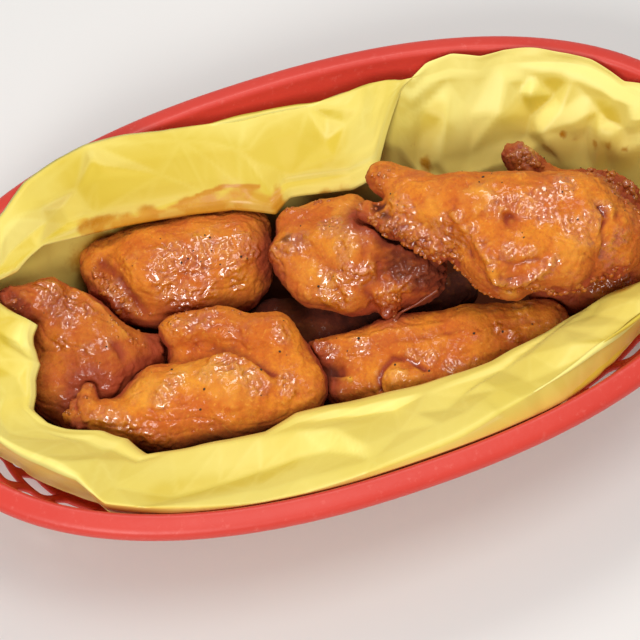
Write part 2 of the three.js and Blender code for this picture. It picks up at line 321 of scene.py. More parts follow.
def makePaper():
    shader = Shader("yellow_deli_paper", Specular_IOR_Level=0.3)
    grease, soakedShade, paintedShading = shader.attribute("stainAndShading")
    cloud = shader.between(shader.noise(30, 2), 0.3, 0.7)
    colour = shader.mix(cloud, *paperColours["clean"])
    # painted light and shade: a high tone paints paler facets, a low tone deeper yellow ones
    colour = shader.mix(shader.between(paintedShading, 0.5, 1.0), colour, paperColours["pale"])
    colour = shader.mix(shader.between(paintedShading, 0.5, 0.0), colour, paperColours["strong"])
    height = shader.node("ShaderNodeSeparateXYZ", {}, {"Vector": shader.place}, "Z")
    # painted light: the paper from about 38 mm down is painted paler and warmer, where shade falls
    colour = shader.mix(0.8 * shader.between(height, 38 * mm, 26 * mm), colour, paperColours["low"])
    oily = shader.mix(shader.noise(7, 3), *paperColours["oily"])
    spot = shader.between(shader.noise(6, 4), 0.42, 0.62)
    wet = shader.between(grease + 0.3 * spot - 0.15, 0.1, 0.85)
    colour = shader.mix(wet, colour, oily)
    # sauce soak with painted shade, low in the basket
    shader.use("Base Color", shader.mix(soakedShade, colour, paperColours["soakedShade"]))
    shader.use("Roughness", 0.42 - 0.15 * wet + 0.6 * soakedShade)
    shader.use("Normal", shader.bump(shader.noise(0.8, 3), 0.05, 0.3))
    return shader.material


skinColours = {
    "base": ((0.60, 0.132, 0.006), (0.75, 0.236, 0.010)),
    "pooled": (0.44, 0.06, 0.008),  # sauce in the pores
    "mottle": (0.44, 0.065, 0.010),
    "fleck": (0.90, 0.42, 0.05),
    "pale": (0.94, 0.44, 0.04),
    # browned crisp skin, also used for painted shade
    "crispAndShade": (0.34, 0.05, 0.010),
    # near black: painted shade, and a few dark bits of skin
    "darkAndShade": (0.05, 0.007, 0.003),
}


def makeSkin():
    shader = Shader(
        "sauced_skin",
        Specular_IOR_Level=0.4,
        Coat_Roughness=0.09,
        Coat_IOR=1.7,
        Subsurface_Weight=0.12,
        Subsurface_Radius=(1.0, 0.35, 0.12),
        Subsurface_Scale=2.2 * mm,
    )
    crispAndShade, pale, darkAndShade = shader.attribute("paint")
    wet, _, _ = shader.attribute("sauce")
    grain = shader.noise(0.9, 3, roughness=0.6)
    pooled = shader.between(grain, 0.6, 0.35)
    mottle = shader.between(shader.noise(3.4, 6, roughness=0.72), 0.5, 0.68)
    flecks = shader.between(shader.noise(1.3, 3), 0.6, 0.72)
    colour = shader.mix(shader.between(shader.noise(9, 3), 0.32, 0.68), *skinColours["base"])
    # the crisp and dark layers carry painted shade as well as browned skin
    layers = (
        (pooled * (0.25 + 0.3 * wet), "pooled"),
        (0.5 * mottle, "mottle"),
        (0.35 * flecks, "fleck"),
        (pale, "pale"),
        (crispAndShade, "crispAndShade"),
        (darkAndShade, "darkAndShade"),
    )
    for share, name in layers:
        colour = shader.mix(share, colour, skinColours[name])
    shader.use("Base Color", colour)
    shine = shader.between(wet + 0.7 * shader.noise(2.4, 2), 0.5, 1.0)
    # painted shade is also made rough and loses its coat
    shader.use("Roughness", 0.82 - 0.55 * shine + darkAndShade)
    film = shader.between(shader.noise(7, 3), 0.45, 0.62)
    shader.use("Coat Weight", (0.2 * film + 0.85 * shine) * (1 - darkAndShade))
    pores = shader.bump(shader.noise(0.45, 2), 0.08, 0.5)
    pebble = shader.bump(grain * (0.45 + 0.55 * wet), 0.55, 0.8, pores)
    shader.use("Normal", shader.bump(shader.noise(2.6, 2), 0.5, 0.5, pebble))
    return shader.material


def makeSpeck():
    shader = Shader("ground_pepper", Roughness=0.7)
    shader.use("Base Color", shader.mix(shader.noise(0.5), (0.012, 0.007, 0.004), (0.05, 0.025, 0.012)))
    return shader.material


# the oval that the basket and the paper follow
basketLow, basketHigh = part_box("basket")
plan = {
    "length": (basketHigh[0] - basketLow[0]) / mm,
    "width": (basketHigh[1] - basketLow[1]) / mm,
    "power": 2.24,  # 2 would be an ellipse
    "evenInset": 12,  # columns are evenly far apart on the oval at this inset
    "farthest": 60,  # no point is farther outside the rim
    "halvings": 26,  # in the search for a point's oval
}


def signedPower(values, power):
    return np.sign(values) * np.abs(values) ** power


# points of the oval at insets from the rim's outer edge
def ovalPoints(bearing, inset):
    x = (plan["length"] / 2 - inset) * signedPower(np.cos(bearing), 2 / plan["power"])
    y = (plan["width"] / 2 - inset) * signedPower(np.sin(bearing), 2 / plan["power"])
    return x, y


# the inset of the oval through each point, and the point's bearing on it
def ovalPlace(x, y):
    low = np.full(len(x), -float(plan["farthest"]))
    high = np.full(len(x), plan["width"] / 2 - 0.01)
    for _ in range(plan["halvings"]):
        inset = (low + high) / 2
        along = (np.abs(x) / (plan["length"] / 2 - inset)) ** plan["power"]
        across = (np.abs(y) / (plan["width"] / 2 - inset)) ** plan["power"]
        outside = along + across > 1
        high = np.where(outside, inset, high)
        low = np.where(outside, low, inset)
    along = signedPower(x / (plan["length"] / 2 - inset), plan["power"] / 2)
    across = signedPower(y / (plan["width"] / 2 - inset), plan["power"] / 2)
    return inset, np.arctan2(across, along)


# bearings at shares of the way round the oval
def evenBearings(shares):
    fine = np.linspace(0, 2 * math.pi, 4001)
    x, y = ovalPoints(fine, plan["evenInset"])
    lengths = np.concatenate([[0], np.cumsum(np.hypot(np.diff(x), np.diff(y)))])
    return np.interp(shares, lengths / lengths[-1], fine)


# spins a section, given as insets and heights at the basket's end, into circles round its middle
def spinSection(section, steps):
    bm = bmesh.new()
    chain = [bm.verts.new((plan["length"] / 2 - inset, 0, height)) for inset, height in section]
    edges = [bm.edges.new(pair) for pair in zip(chain, chain[1:])]
    bmesh.ops.spin(
        bm,
        geom=chain + edges,
        cent=(0, 0, 0),
        axis=(0, 0, 1),
        angle=2 * math.pi,
        steps=steps,
        use_merge=True,
    )
    return bm


basket = {
    "height": basketHigh[2] / mm,
    "wall": 1.7,
    # insets and heights of the rolled lip
    "lip": (
        (1.9, 40.0), (0.9, 42.4), (1.1, 43.5), (1.9, 44.1),
        (4.6, 44.8), (5.2, 44.9), (5.7, 44.5), (5.9, 43.2),
    ),
    "wallTop": 5.7,  # inset of the wall at the lip
    "bandHeight": 10,  # the plain band under the lip
    "bandRows": (41, 37.2),  # heights of rows of faces in the band
    "bandInset": 9,
    "wallCurve": 1.6,
    "footInset": 30,
    "footBend": (0.4, 0.6),  # inset and height of the bend between the wall and the floor
    "floorMiddle": 1.1,
    "slots": 36,  # in each row round the basket
    "columns": 8,  # of faces for each slot and its post
    "post": 2,  # of those columns
    "wallRows": 4,
    "strand": 3.0,  # between two rows of slots
    "floorRings": ((33, 43), (46, 56)),  # insets of the slots in the floor
    "floorRest": (59, 64),  # insets of rows of faces inside those
    "overLip": (45.5, 48, 5.2),  # between these heights, what leans over the lip moves out to this inset
}


def wallInset(height):
    bandFoot = basket["height"] - basket["bandHeight"]
    depth = max(bandFoot - height, 0) / (bandFoot - basket["floorMiddle"])
    lean = (basket["bandInset"] - basket["wallTop"]) * max(height - bandFoot, 0) / basket["bandHeight"]
    spread = basket["footInset"] - basket["bandInset"]
    return basket["bandInset"] - lean + spread * depth ** basket["wallCurve"]


# insets and heights down the wall, from the band's foot to the floor, and the row of slots that starts there
def wallRows():
    bandFoot = basket["height"] - basket["bandHeight"]
    heights = np.linspace(bandFoot, basket["floorMiddle"] + basket["footBend"][1], 400)
    insets = np.array([wallInset(height) for height in heights])
    lengths = np.concatenate([[0], np.cumsum(np.hypot(np.diff(insets), np.diff(heights)))])
    strand = basket["strand"]
    pitch = (lengths[-1] - strand) / basket["wallRows"]
    stops = []
    for row in range(basket["wallRows"]):
        top = row * pitch
        stops += [(top, None), (top + strand, row), (top + (strand + pitch) / 2, row)]
    stops += [(lengths[-1] - strand, None), (lengths[-1], None)]
    return [(np.interp(stop, lengths, insets), np.interp(stop, lengths, heights), row) for stop, row in stops]


def basketSection():
    floor = basket["floorMiddle"]
    section = [(inset, height, None) for inset, height in basket["lip"]]
    section += [(wallInset(height), height, None) for height in basket["bandRows"]]
    section += wallRows()
    section.append((basket["footInset"] + basket["footBend"][0], floor, None))
    for ring, (start, end) in enumerate(basket["floorRings"], basket["wallRows"]):
        section += [(start, floor, ring), ((start + end) / 2, floor, ring), (end, floor, None)]
    return section + [(inset, floor, None) for inset in (*basket["floorRest"], plan["width"] / 2)]


# how far round the basket a place is, from 0 to 1
def turnOf(place):
    return math.atan2(place.y, place.x) % (2 * math.pi) / (2 * math.pi)


# opens the slots; every second row is shifted by half a slot
def cutSlots(bm, section, steps):
    rows = []
    for above, below in zip(section, section[1:]):
        rows.append((plan["length"] / 2 - (above[0] + below[0]) / 2, (above[1] + below[1]) / 2, above[2]))
    holes = []
    for face in bm.faces:
        centre = face.calc_center_median()
        radius = math.hypot(centre.x, centre.y)
        row = min(rows, key=lambda row: (row[0] - radius) ** 2 + (row[1] - centre.z) ** 2)[2]
        if row is None:
            continue
        column = int(turnOf(centre) * steps) + row % 2 * basket["columns"] // 2
        if column % basket["columns"] >= basket["post"]:
            holes.append(face)
    bmesh.ops.delete(bm, geom=holes, context="FACES")


def stretchToOval(bm, steps):
    bearings = evenBearings(np.arange(steps) / basket["slots"] / basket["columns"])
    for vertex in bm.verts:
        inset = plan["length"] / 2 - math.hypot(vertex.co.x, vertex.co.y)
        vertex.co.x, vertex.co.y = ovalPoints(bearings[round(turnOf(vertex.co) * steps) % steps], inset)


def makeBasket(material):
    steps = basket["slots"] * basket["columns"]
    section = basketSection()
    bm = spinSection([(inset, height) for inset, height, _ in section], steps)
    cutSlots(bm, section, steps)
    stretchToOval(bm, steps)
    bmesh.ops.remove_doubles(bm, verts=bm.verts, dist=0.01)
    bmesh.ops.recalc_face_normals(bm, faces=bm.faces)
    mesh = meshFrom(bm, "basket_shell")
    mesh = withModifier(mesh, "SOLIDIFY", {"thickness": basket["wall"], "offset": 0, "use_even_offset": True})
    mesh = withModifier(mesh, "SUBSURF", {"levels": 1, "render_levels": 1})
    finishPiece("basket_shell", mesh, material, ["basket"])


makeBasket(makePlastic())

wingStyle = {
    "roughVoxel": 0.9,
    "fineVoxel": 0.46,
    "blend": 3.0,  # how far two lobes flow into each other
    "gap": 0.45,  # between pieces
    "giveWay": 0.4,  # added to the gap while a wing is pressed out of shape by those on it
    "reach": 2.5,  # points within this distance of a finished wing are kept clear of it
    "wallGap": 3.2,  # from the basket's wall, with room for the paper
    "lowest": 4.4,
}

# A lobe runs from one point and radius to another. Marks are lines or spots on the skin, with a height,
# which is negative for a groove or a pit, a width, and points. The patches of crisp, pale, dark and wet
# skin have a radius, a strength and points, and tan browns the whole wing. Some crisp patches and most
# dark ones are painted shade and shadow. Wings that lie on top come first, and the others give way to them.
wings = [
    {
        "name": "wing_top_right",
        "tan": 0,
        "lobes": [
            ((23, 21, 48), 5, (29, 13, 48), 5.5),
            ((15, 14, 46), 3, (21, 9, 45), 4.5),
            ((27, 10, 48), 7.5, (40, 2, 49), 9.5),
            ((40, 2, 49), 10.5, (66, -9, 48), 12.5),
            ((22, 8, 45), 4.5, (30, -2, 44), 4.5),
            ((43, -13, 47), 10, (58, -18, 47), 10.5),
            ((65, -11, 47), 11.5, (73, -15, 45), 9.6),
            ((68, -3, 46), 6.5, (74, -8, 44), 6.5),
            ((36, -9, 44), 5, (43, -20, 43), 4.5),
            ((59, -16, 45), 8.5, (73, -20, 43), 7),
        ],
        "marks": [
            ("line", -0.9, 0.9, [(30, -4, 51), (34, -11, 51), (36, -18, 50), (38, -21, 46)]),
            ("line", 1.3, 1.5, [(33, -2, 57), (35.6, -6.8, 54), (36, -12.7, 55), (37, -17.6, 54),
                                (38, -21, 50)]),
            ("line", 1.1, 1.3, [(38, -21, 50), (41, -23, 48), (44, -24, 49), (48, -25, 52), (52, -24, 54)]),
            ("line", -0.5, 0.8, [(40, -18, 55), (43, -21, 54), (49, -22, 55)]),
            ("line", 0.7, 1.3, [(39, -14, 56), (42, -18, 56), (46, -20, 56), (51, -20, 56)]),
            ("spot", 1.1, 3.4, [(46, -9.5, 58)]),
            ("spot", -4.4, 1.9, [(46, -9.5, 58)]),
            ("spot", 3.2, 1.0, [(46.4, -9.7, 57)]),
            ("line", -1.8, 1.1, [(69, -13, 58), (70.5, -15, 58), (71, -18, 57), (69, -20, 56)]),
            ("line", -0.9, 0.9, [(69, -20, 56), (67, -25, 50)]),
            ("spot", 0.9, 1.9, [(73, -16, 57), (75, -19, 54)]),
            ("spot", -1.0, 1.3, [(74, -17.5, 56)]),
            ("spot", -1.2, 1.6, [(17.5, 12.5, 50), (19, 9, 49)]),
        ],
        "crispAndShade": [
            (5, 0.45, [(22, 20, 51), (19, 22, 49)]),
            (5, 0.8, [(54, -27, 43), (62, -27, 42), (70, -26, 43)]),
            (7, 0.6, [(74, -3, 53), (79, -9, 52), (82, -16, 50)]),
            (4.5, 0.9, [(20, 5, 47), (25, -1, 46), (29, -6, 45), (31, -8, 44)]),
            (4, 0.5, [(15, 14, 48)]),
        ],
        "pale": [
            (6, 0.5, [(30, 3, 53), (42, 0, 58), (58, -22, 54)]),
            (3.5, 0.8, [(41, -24, 45), (47, -27, 46)]),
        ],
        "wet": [
            (5, 1, [(20, 6, 49), (23, 2, 48), (25, -2, 47), (30, -2, 52), (32, -5, 50), (22, 8, 52)]),
            (2.6, 1, [(33, -2, 57), (36, -7, 54), (36, -13, 55), (37, -18, 54), (38, -21, 49)]),
            (3.0, 1, [(41, -23, 48), (44, -24, 49), (48, -25, 52), (52, -24, 54)]),
            (3.0, 1, [(42, -18, 56), (47, -20, 56)]),
            (4.5, 0.8, [(50, -6, 59), (56, -7, 60), (62, -7, 60), (55, -12, 59), (52, -9, 59), (45, -5, 59)]),
            (4, 0.8, [(61, -17, 58), (66, -18, 58), (62, -20, 56), (70, -15, 58)]),
            (4, 0.8, [(69, -23, 50), (73, -22, 52)]),
        ],
        # painted shade in the pit by the knob
        "darkAndShade": [(2.2, 0.9, [(17.5, 12.5, 49), (18.5, 9.5, 48)])],
    },
    {
        "name": "wing_middle",
        "tan": 0.15,
        "lobes": [
            ((-7, 17, 34), 5.5, (-4, 6, 31), 6.5),
            ((-2, 24, 34), 5.5, (13, 21, 36), 5.5),
            ((0, 17, 32), 9, (11, 9, 34), 11.5),
            ((12, 12, 34), 10, (23, 5, 32), 11.5),
            ((5, 2, 30), 7.5, (25, 0, 28.5), 7.3),
            ((14, -4, 32), 3.4, (13, -8, 27), 1.7),
        ],
        "marks": [
            ("spot", 0.8, 1.6, [(-10, 7, 33), (-2, -1, 33), (3, -4, 32), (-6, 3, 34)]),
            ("line", -0.7, 1.0, [(-9, 16, 38), (-8, 11, 37), (-9, 7, 34)]),
            ("line", -1.2, 1.2, [(8, -2, 36), (9, -5, 33), (9, -7, 30)]),
            ("line", 0.6, 1.1, [(-4, 6, 38), (2, 2, 38), (6, 1, 38)]),
            ("spot", -0.9, 3.0, [(-5, 15, 41)]),
            ("line", 0.9, 1.5, [(-7.3, 14.1, 39.5), (-4.2, 14.5, 40.3), (-0.5, 13.7, 42)]),
            ("line", 0.8, 1.0, [(-3, 12, 42), (0, 13, 43), (1, 17, 43)]),
            ("line", -1.0, 1.8, [(15, 16, 45), (11, 10, 45), (11, 4, 43), (14, 0, 41), (12, -3, 38)]),
            ("line", 0.7, 0.9, [(3, 3, 41), (6, 1, 40), (9, 0, 40)]),
            ("spot", 0.7, 1.3, [(12, -5, 36), (15, -6, 36), (14, -4, 38), (17, -5, 35)]),
        ],
        "crispAndShade": [
            # painted shadow of the top wing on the right part, in crisp red
            (8, 0.9, [(19, -1, 40), (25, -5, 37), (29, -4, 36), (24, 2, 40)]),
            (4, 0.35, [(13, -7, 30), (-12, 12, 34)]),
        ],
        "pale": [(7, 0.5, [(12, 18, 42), (5, 8, 43), (-3, 4, 36)])],
        "darkAndShade": [
            (1.8, 0.8, [(-7, 18, 39)]),
            # painted shadow of the top wing on the right part
            (7, 0.6, [(19, -1, 40), (25, -5, 37), (29, -4, 36), (24, 2, 40), (30, -8, 32), (20, 6, 42)]),
        ],
        "wet": [
            (3.4, 1, [(-10, 16, 38), (-7, 16, 40), (-4, 15, 41), (-12, 17, 34)]),
            (4, 0.9, [(4, 14, 43), (6, 10, 44), (5, 6, 43), (6, 16, 42)]),
            (4.5, 1, [(1, 2, 37), (1, -2, 36), (5, 1, 40), (8, 0, 40), (-2, -2, 34)]),
            (4, 1, [(14, -6, 35), (17, -5, 36), (11, -6, 33), (13, -8, 30)]),
            (6, 0.2, [(19, -1, 40), (25, -5, 37)]),
        ],
    },
    {
        "name": "wing_front_left",
        "tan": 0.04,
        "lobes": [
            ((-74, -5, 27), 3, (-71, -1, 28), 2.4),
            ((-75, -8, 27), 2.8, (-79, -6, 26), 2),
            ((-74, -8, 26), 3.6, (-67, -12, 23), 5.4),
            ((-66, -11, 23), 6.5, (-54, -11, 22), 11.5),
            ((-54, -11, 22), 11.5, (-36, -15, 22.5), 12.8),
            ((-36, -15, 22.5), 12.8, (-20, -19, 22), 9.5),
            ((-43, 8, 28), 4.6, (-32, 3, 30), 5.2),
            ((-32, 3, 30), 5.2, (-20, -5, 29.5), 6.8),
            ((-42, 3, 22), 5.5, (-24, -5, 23), 7),
            ((-20, -5, 29.5), 6.8, (-16.5, -17, 25), 7),
        ],
        "marks": [
            ("line", -1.6, 1.3, [(-47, 1, 28), (-40, -3, 30), (-32, -6, 33), (-27, -12, 34), (-24, -17, 33)]),
            ("line", 0.9, 1.3, [(-37, -7, 34), (-32, -9, 35), (-28, -14, 35), (-26, -20, 33)]),
            ("line", -0.6, 0.9, [(-37, 2, 35), (-31, 0, 36), (-26, -3, 36)]),
            ("spot", 0.8, 1.8, [(-21, -22, 31), (-20, -25, 28), (-23, -19, 33)]),
        ],
        "crispAndShade": [
            (4.5, 0.9, [(-76, -4, 29), (-76, -9, 27)]),
            (6, 0.25, [(-61, -20, 25), (-67, -15, 27), (-38, 5, 33), (-28, 1, 36)]),
        ],
        "pale": [(8, 0.6, [(-58, -9, 33), (-44, -10, 34), (-36, -18, 34)])],
        "darkAndShade": [],
        "wet": [
            (3.2, 1, [(-42, -12, 35), (-37, -13, 35), (-34, -12, 35), (-31, -17, 35), (-29, -20, 34)]),
            (2.2, 1, [(-38, -8, 34), (-34, -8, 35), (-30, -11, 35), (-28, -15, 35)]),
            (3.4, 1, [(-55, -14, 33), (-52, -12, 33), (-49, -10, 33)]),
            (3, 1, [(-22, -20, 32), (-22, -22, 30), (-28, -8, 36), (-25, -8, 37), (-19, -9, 36)]),
            (3.4, 0.9, [(-43, 7, 32), (-39, 6, 33), (-35, 4, 35)]),
            (5, 0.6, [(-65, -17, 28), (-62, -21, 26), (-70, -12, 28), (-58, -24, 24)]),
        ],
    },
    {
        "name": "wing_left",
        "tan": 0.38,
        "lobes": [
            ((-83, 28, 36), 4.2, (-74, 26, 33), 5.5),
            ((-72, 27, 29), 7, (-68, 19, 24), 11),
            ((-69, 19, 22), 12.5, (-64, 10, 22), 11),
            ((-77, 9, 21), 8, (-64, 5, 21), 9),
            ((-77, 6, 18), 8, (-74, -1, 16), 7),
            ((-60, 9, 22), 7, (-49, 8, 21), 4.5),
        ],
        "marks": [
            ("line", 0.8, 0.8, [(-67, 28, 33), (-62, 22, 33), (-60, 18, 32), (-58, 11, 31), (-55, 8, 29)]),
            ("line", -1.2, 1.6, [(-60, 7, 32), (-60, 1, 27), (-63, -1, 22)]),
            ("spot", 0.6, 2.0, [(-72, 24, 37), (-71, 21, 36), (-76, 21, 34), (-72, 14, 33), (-68, 10, 33)]),
            ("spot", -1.2, 1.6, [(-82, 27, 40), (-79, 24, 37)]),
        ],
        "crispAndShade": [
            (4, 0.9, [(-84, 28, 39), (-81, 25, 37)]),
            (6, 0.35, [(-72, 22, 36), (-70, 6, 31), (-66, 3, 30)]),
        ],
        "pale": [
            (2.2, 0.6, [(-61, 20, 33), (-59, 14, 32), (-57, 10, 31)]),
            (2.6, 0.5, [(-80, 24, 38)]),
        ],
        "darkAndShade": [(3.6, 0.5, [(-86, 29, 38), (-82, 26, 38)])],
        "wet": [
            (4.5, 1, [(-72, 25, 37), (-69, 24, 36), (-71, 22, 36), (-74, 27, 35)]),
            (2.6, 1, [(-68, 20, 35), (-64, 19, 34), (-70, 17, 35)]),
            (3, 0.7, [(-74, 13, 32), (-68, 8, 33), (-63, 8, 33)]),
        ],
    },
    {
        "name": "wing_front_right",
        "tan": 0.06,
        "lobes": [
            ((-8, -11, 23), 4.5, (13, -16, 21), 9),
            ((13, -17, 20), 10.5, (31, -22, 20), 11),
            ((32, -21, 20), 11, (53, -23, 21), 7),
            ((7, -27, 23), 5.2, (22, -30, 21), 7),
            ((-5, -20, 19), 6, (4, -23, 19), 7),
        ],
        "marks": [
            ("line", -0.5, 1.0, [(-4, -14, 28), (10, -18, 31), (25, -21, 31), (50, -25, 28)]),
            ("line", 0.5, 1.0, [(0, -12, 28), (12, -15, 31), (27, -18, 31), (48, -21, 28)]),
            ("line", -1.5, 0.9, [(2, -28, 25), (3, -25, 26.5), (5, -23, 27.5), (8, -22, 28.5),
                                 (12, -24, 29), (15, -28, 28)]),
            ("line", 0.9, 2.2, [(6, -27, 27), (13, -29, 27)]),
            ("spot", -2.8, 2.5, [(-6, -18.5, 25)]),
            ("line", 1.3, 0.6, [(-9, -18.5, 24), (-6.5, -20, 24.5), (-4, -22, 25)]),
            ("spot", 0.7, 1.3, [(-9, -10, 27), (-7, -12, 28), (-5, -12, 29)]),
        ],
        "crispAndShade": [(4, 0.5, [(-9, -11, 26), (57, -24, 26)])],
        "pale": [
            (1.0, 1, [(-8.5, -18.7, 23), (-7, -19.7, 23.5), (-5.5, -20.8, 24), (-4, -22, 25)]),
            (4, 0.5, [(7, -26, 29)]),
        ],
        # painted shade in the hollow bone end
        "darkAndShade": [(3.4, 0.85, [(-7, -18, 23)])],
        "wet": [
            (3, 0.9, [(14, -24, 30), (18, -26, 29), (22, -29, 28)]),
            (2.6, 0.9, [(38, -24, 30), (42, -27, 28)]),
            (3, 0.8, [(-8, -10, 27), (-6, -13, 28), (2, -15, 29)]),
            (3, 0.5, [(8, -27, 28), (4, -25, 27)]),
        ],
    },
    {
        "name": "wing_far_left",
        "tan": 0.1,
        "lobes": [
            ((-52, 37, 24), 7.5, (-40, 30, 25), 11),
            ((-41, 30, 25), 12, (-21, 26, 25), 12.6),
            ((-40, 38, 23), 7.5, (-14, 33, 25.5), 7.8),
            ((-56, 38, 26), 4.2, (-53, 30, 22), 6.5),
            ((-52, 42, 27), 2.4, (-20, 37, 29), 2.6),
            ((-54, 29, 22), 7, (-45, 23, 21), 7.5),
            ((-34, 21, 23), 9.5, (-22, 20, 23), 9),
        ],
        "marks": [
            ("line", -1.1, 1.7, [(-55, 34, 31), (-53, 28, 31), (-51, 23, 29), (-49, 18, 26)]),
            ("line", 0.8, 1.4, [(-50, 34, 34), (-48, 27, 34), (-46, 21, 32), (-44, 16, 29)]),
            ("spot", -0.8, 2.0, [(-57, 30, 30)]),
            ("spot", 0.9, 1.3, [(-56, 24, 28), (-55, 22, 26), (-57, 27, 29), (-58, 33, 30)]),
            ("line", -0.5, 0.7, [(-32, 22, 37), (-23, 19, 36)]),
            ("line", 0.5, 0.8, [(-36, 30, 37), (-34, 26, 37), (-32, 22, 37)]),
        ],
        "crispAndShade": [(5, 0.6, [(-58, 31, 30), (-55, 22, 26)])],
        "pale": [
            (3.0, 0.6, [(-57, 29, 29), (-56, 25, 28), (-54, 21, 27)]),
            (6, 0.4, [(-25, 27, 37)]),
        ],
        "darkAndShade": [
            # painted shade in the hollow left of the groove
            (4, 0.25, [(-54, 33, 30), (-52, 28, 28), (-50, 23, 27)]),
            (3, 0.6, [(-52, 43, 28), (-44, 42, 28), (-36, 40, 29), (-28, 39, 29), (-20, 38, 30)]),
        ],
        "wet": [
            (5.5, 1, [(-37, 26, 37), (-33, 22, 36), (-30, 24, 37)]),
            (5.5, 1, [(-41, 22, 34), (-40, 18, 31), (-36, 15, 29)]),
            (3.6, 1, [(-23, 23, 37), (-18, 23, 37), (-17, 20, 36)]),
            (3.6, 1, [(-24, 17, 35), (-23, 14, 31), (-31, 15, 31)]),
            (4, 0.9, [(-56, 26, 29), (-55, 23, 28), (-54, 21, 25)]),
        ],
    },
    {
        "name": "wing_under_right",
        "tan": 0.3,
        "lobes": [
            ((63, 22, 36), 4.2, (67, 15, 32), 5),
            ((69, 13, 28), 6.5, (82, 4, 30), 8),
            ((83, 1, 30), 8, (80, -16, 28), 7.5),
            ((61, -12, 21), 8, (77, -17, 24), 8),
            ((76, 3, 22), 12, (73, -9, 21), 12),
        ],
        "marks": [("line", -0.9, 1.0, [(64, 18, 38), (67, 14, 37), (70, 11, 36)])],
        "crispAndShade": [
            (9, 0.8, [(79, 8, 38), (84, 4, 38), (88, -1, 36)]),
            (6, 0.6, [(62, 23, 39), (66, 17, 36), (66, -20, 30), (76, -22, 30)]),
        ],
        "pale": [],
        "darkAndShade": [],
        "wet": [(4, 0.8, [(65, 20, 38), (70, -21, 29), (75, -22, 30)])],
    },
    {
        "name": "wing_under_middle",
        "tan": 0.4,
        "lobes": [
            ((-14, 8, 13), 7.5, (-2, 1, 13), 8.5),
            ((-2, 1, 13), 8.5, (16, -1, 11.5), 7),
            ((16, 0, 11.5), 7, (38, 2, 11), 5.5),
        ],
        "marks": [],
        "crispAndShade": [],
        "pale": [],
        # painted shade: this wing, under the others, is painted near black
        "darkAndShade": [(45, 0.84, [(-10, 6, 20), (10, 2, 18)]), (30, 0.97, [(18, 0, 18), (34, 2, 16)])],
        "wet": [],
    },
]


# the hulls of all lobes, each round the balls at its two ends
def lobeMesh(lobes):
    bm = bmesh.new()
    for start, startRadius, end, endRadius in lobes:
        balls = bmesh.new()
        for place, radius in ((start, startRadius), (end, endRadius)):
            shift = Matrix.Translation(place)
            bmesh.ops.create_icosphere(balls, subdivisions=3, radius=radius, matrix=shift)
        corners = [bm.verts.new(vertex.co) for vertex in balls.verts]
        balls.free()
        hull = bmesh.ops.convex_hull(bm, input=corners)
        spare = {item for item in hull["geom_interior"] if isinstance(item, bmesh.types.BMVert)}
        bmesh.ops.delete(bm, geom=list(spare), context="VERTS")
    bmesh.ops.recalc_face_normals(bm, faces=bm.faces)
    return meshFrom(bm, "lobes")


def lobeDistance(points, lobe):
    start, startRadius, end, endRadius = lobe
    along = np.subtract(end, start)
    share = np.clip((points - start) @ along / (along @ along), 0, 1)
    radius = startRadius + (endRadius - startRadius) * share
    return np.linalg.norm(points - start - share[:, None] * along, axis=1) - radius


# distance from points to the surface of the blended lobes, negative inside
def wingDistance(points, lobes):
    blend = wingStyle["blend"]
    total = lobeDistance(points, lobes[0])
    for lobe in lobes[1:]:
        distance = lobeDistance(points, lobe)
        near = np.clip(blend - np.abs(total - distance), 0, None) / blend
        total = np.minimum(total, distance) - near**2 * blend / 4
    return total


# the direction in which that distance grows
def wingSlope(points, lobes):
    step = 0.3
    slope = np.empty_like(points)
    for axis in range(3):
        shift = np.zeros(3)
        shift[axis] = step
        slope[:, axis] = wingDistance(points + shift, lobes) - wingDistance(points - shift, lobes)
    return slope / np.maximum(np.linalg.norm(slope, axis=1), 1e-9)[:, None]


def lineDistance(points, line):
    nearest = np.full(len(points), 1e9)
    for start, end in zip(line, line[1:]):
        nearest = np.minimum(nearest, lobeDistance(points, (start, 0, end, 0)))
    return nearest


def spotDistance(points, spots):
    return np.min([np.linalg.norm(points - spot, axis=1) for spot in spots], axis=0)


# shares from 0 to 1 of patches with uneven edges
def patch(points, rows, seed):
    mask = np.zeros(len(points))
    edge = 1 + 0.45 * noiseAt(points, 2.6, seed)
    for radius, strength, spots in rows:
        distance = spotDistance(points, spots) / radius / edge
        mask = np.maximum(mask, strength * (1 - smoothRamp(distance, 0.35, 1.15)))
    return mask


# keeps points a gap inside the basket's wall, and above a height
def insideWall(points, gap, lowest):
    inset, bearing = ovalPlace(points[:, 0], points[:, 1])
    wall = np.array([wallInset(height) for height in points[:, 2]]) + gap
    lipLow, lipHigh, lipInset = basket["overLip"]
    wall -= (wall - lipInset) * smoothRamp(points[:, 2], lipLow, lipHigh)
    out = inset < wall
    points[out, :2] = np.stack(ovalPoints(bearing[out], wall[out]), axis=1)
    points[:, 2] = np.maximum(points[:, 2], lowest)
    return points


def roughWing(number, wing):
    lobes = wing["lobes"]
    remesh = {"mode": "VOXEL", "voxel_size": wingStyle["roughVoxel"]}
    mesh = withModifier(lobeMesh(lobes), "REMESH", remesh)
    points = readPoints(mesh)
    for _ in range(4):
        points -= wingSlope(points, lobes) * wingDistance(points, lobes)[:, None] * 0.9
    for _ in range(3):
        for upper in wings[:number]:
            room = wingStyle["gap"] + wingStyle["giveWay"]
            push = np.clip(room - wingDistance(points, upper["lobes"]), 0, None)
            if push.any():
                points += wingSlope(points, upper["lobes"]) * push[:, None]
    points = insideWall(points, wingStyle["wallGap"], wingStyle["lowest"])
    writePoints(mesh, smoothed(points, readEdges(mesh), 2))
    return mesh


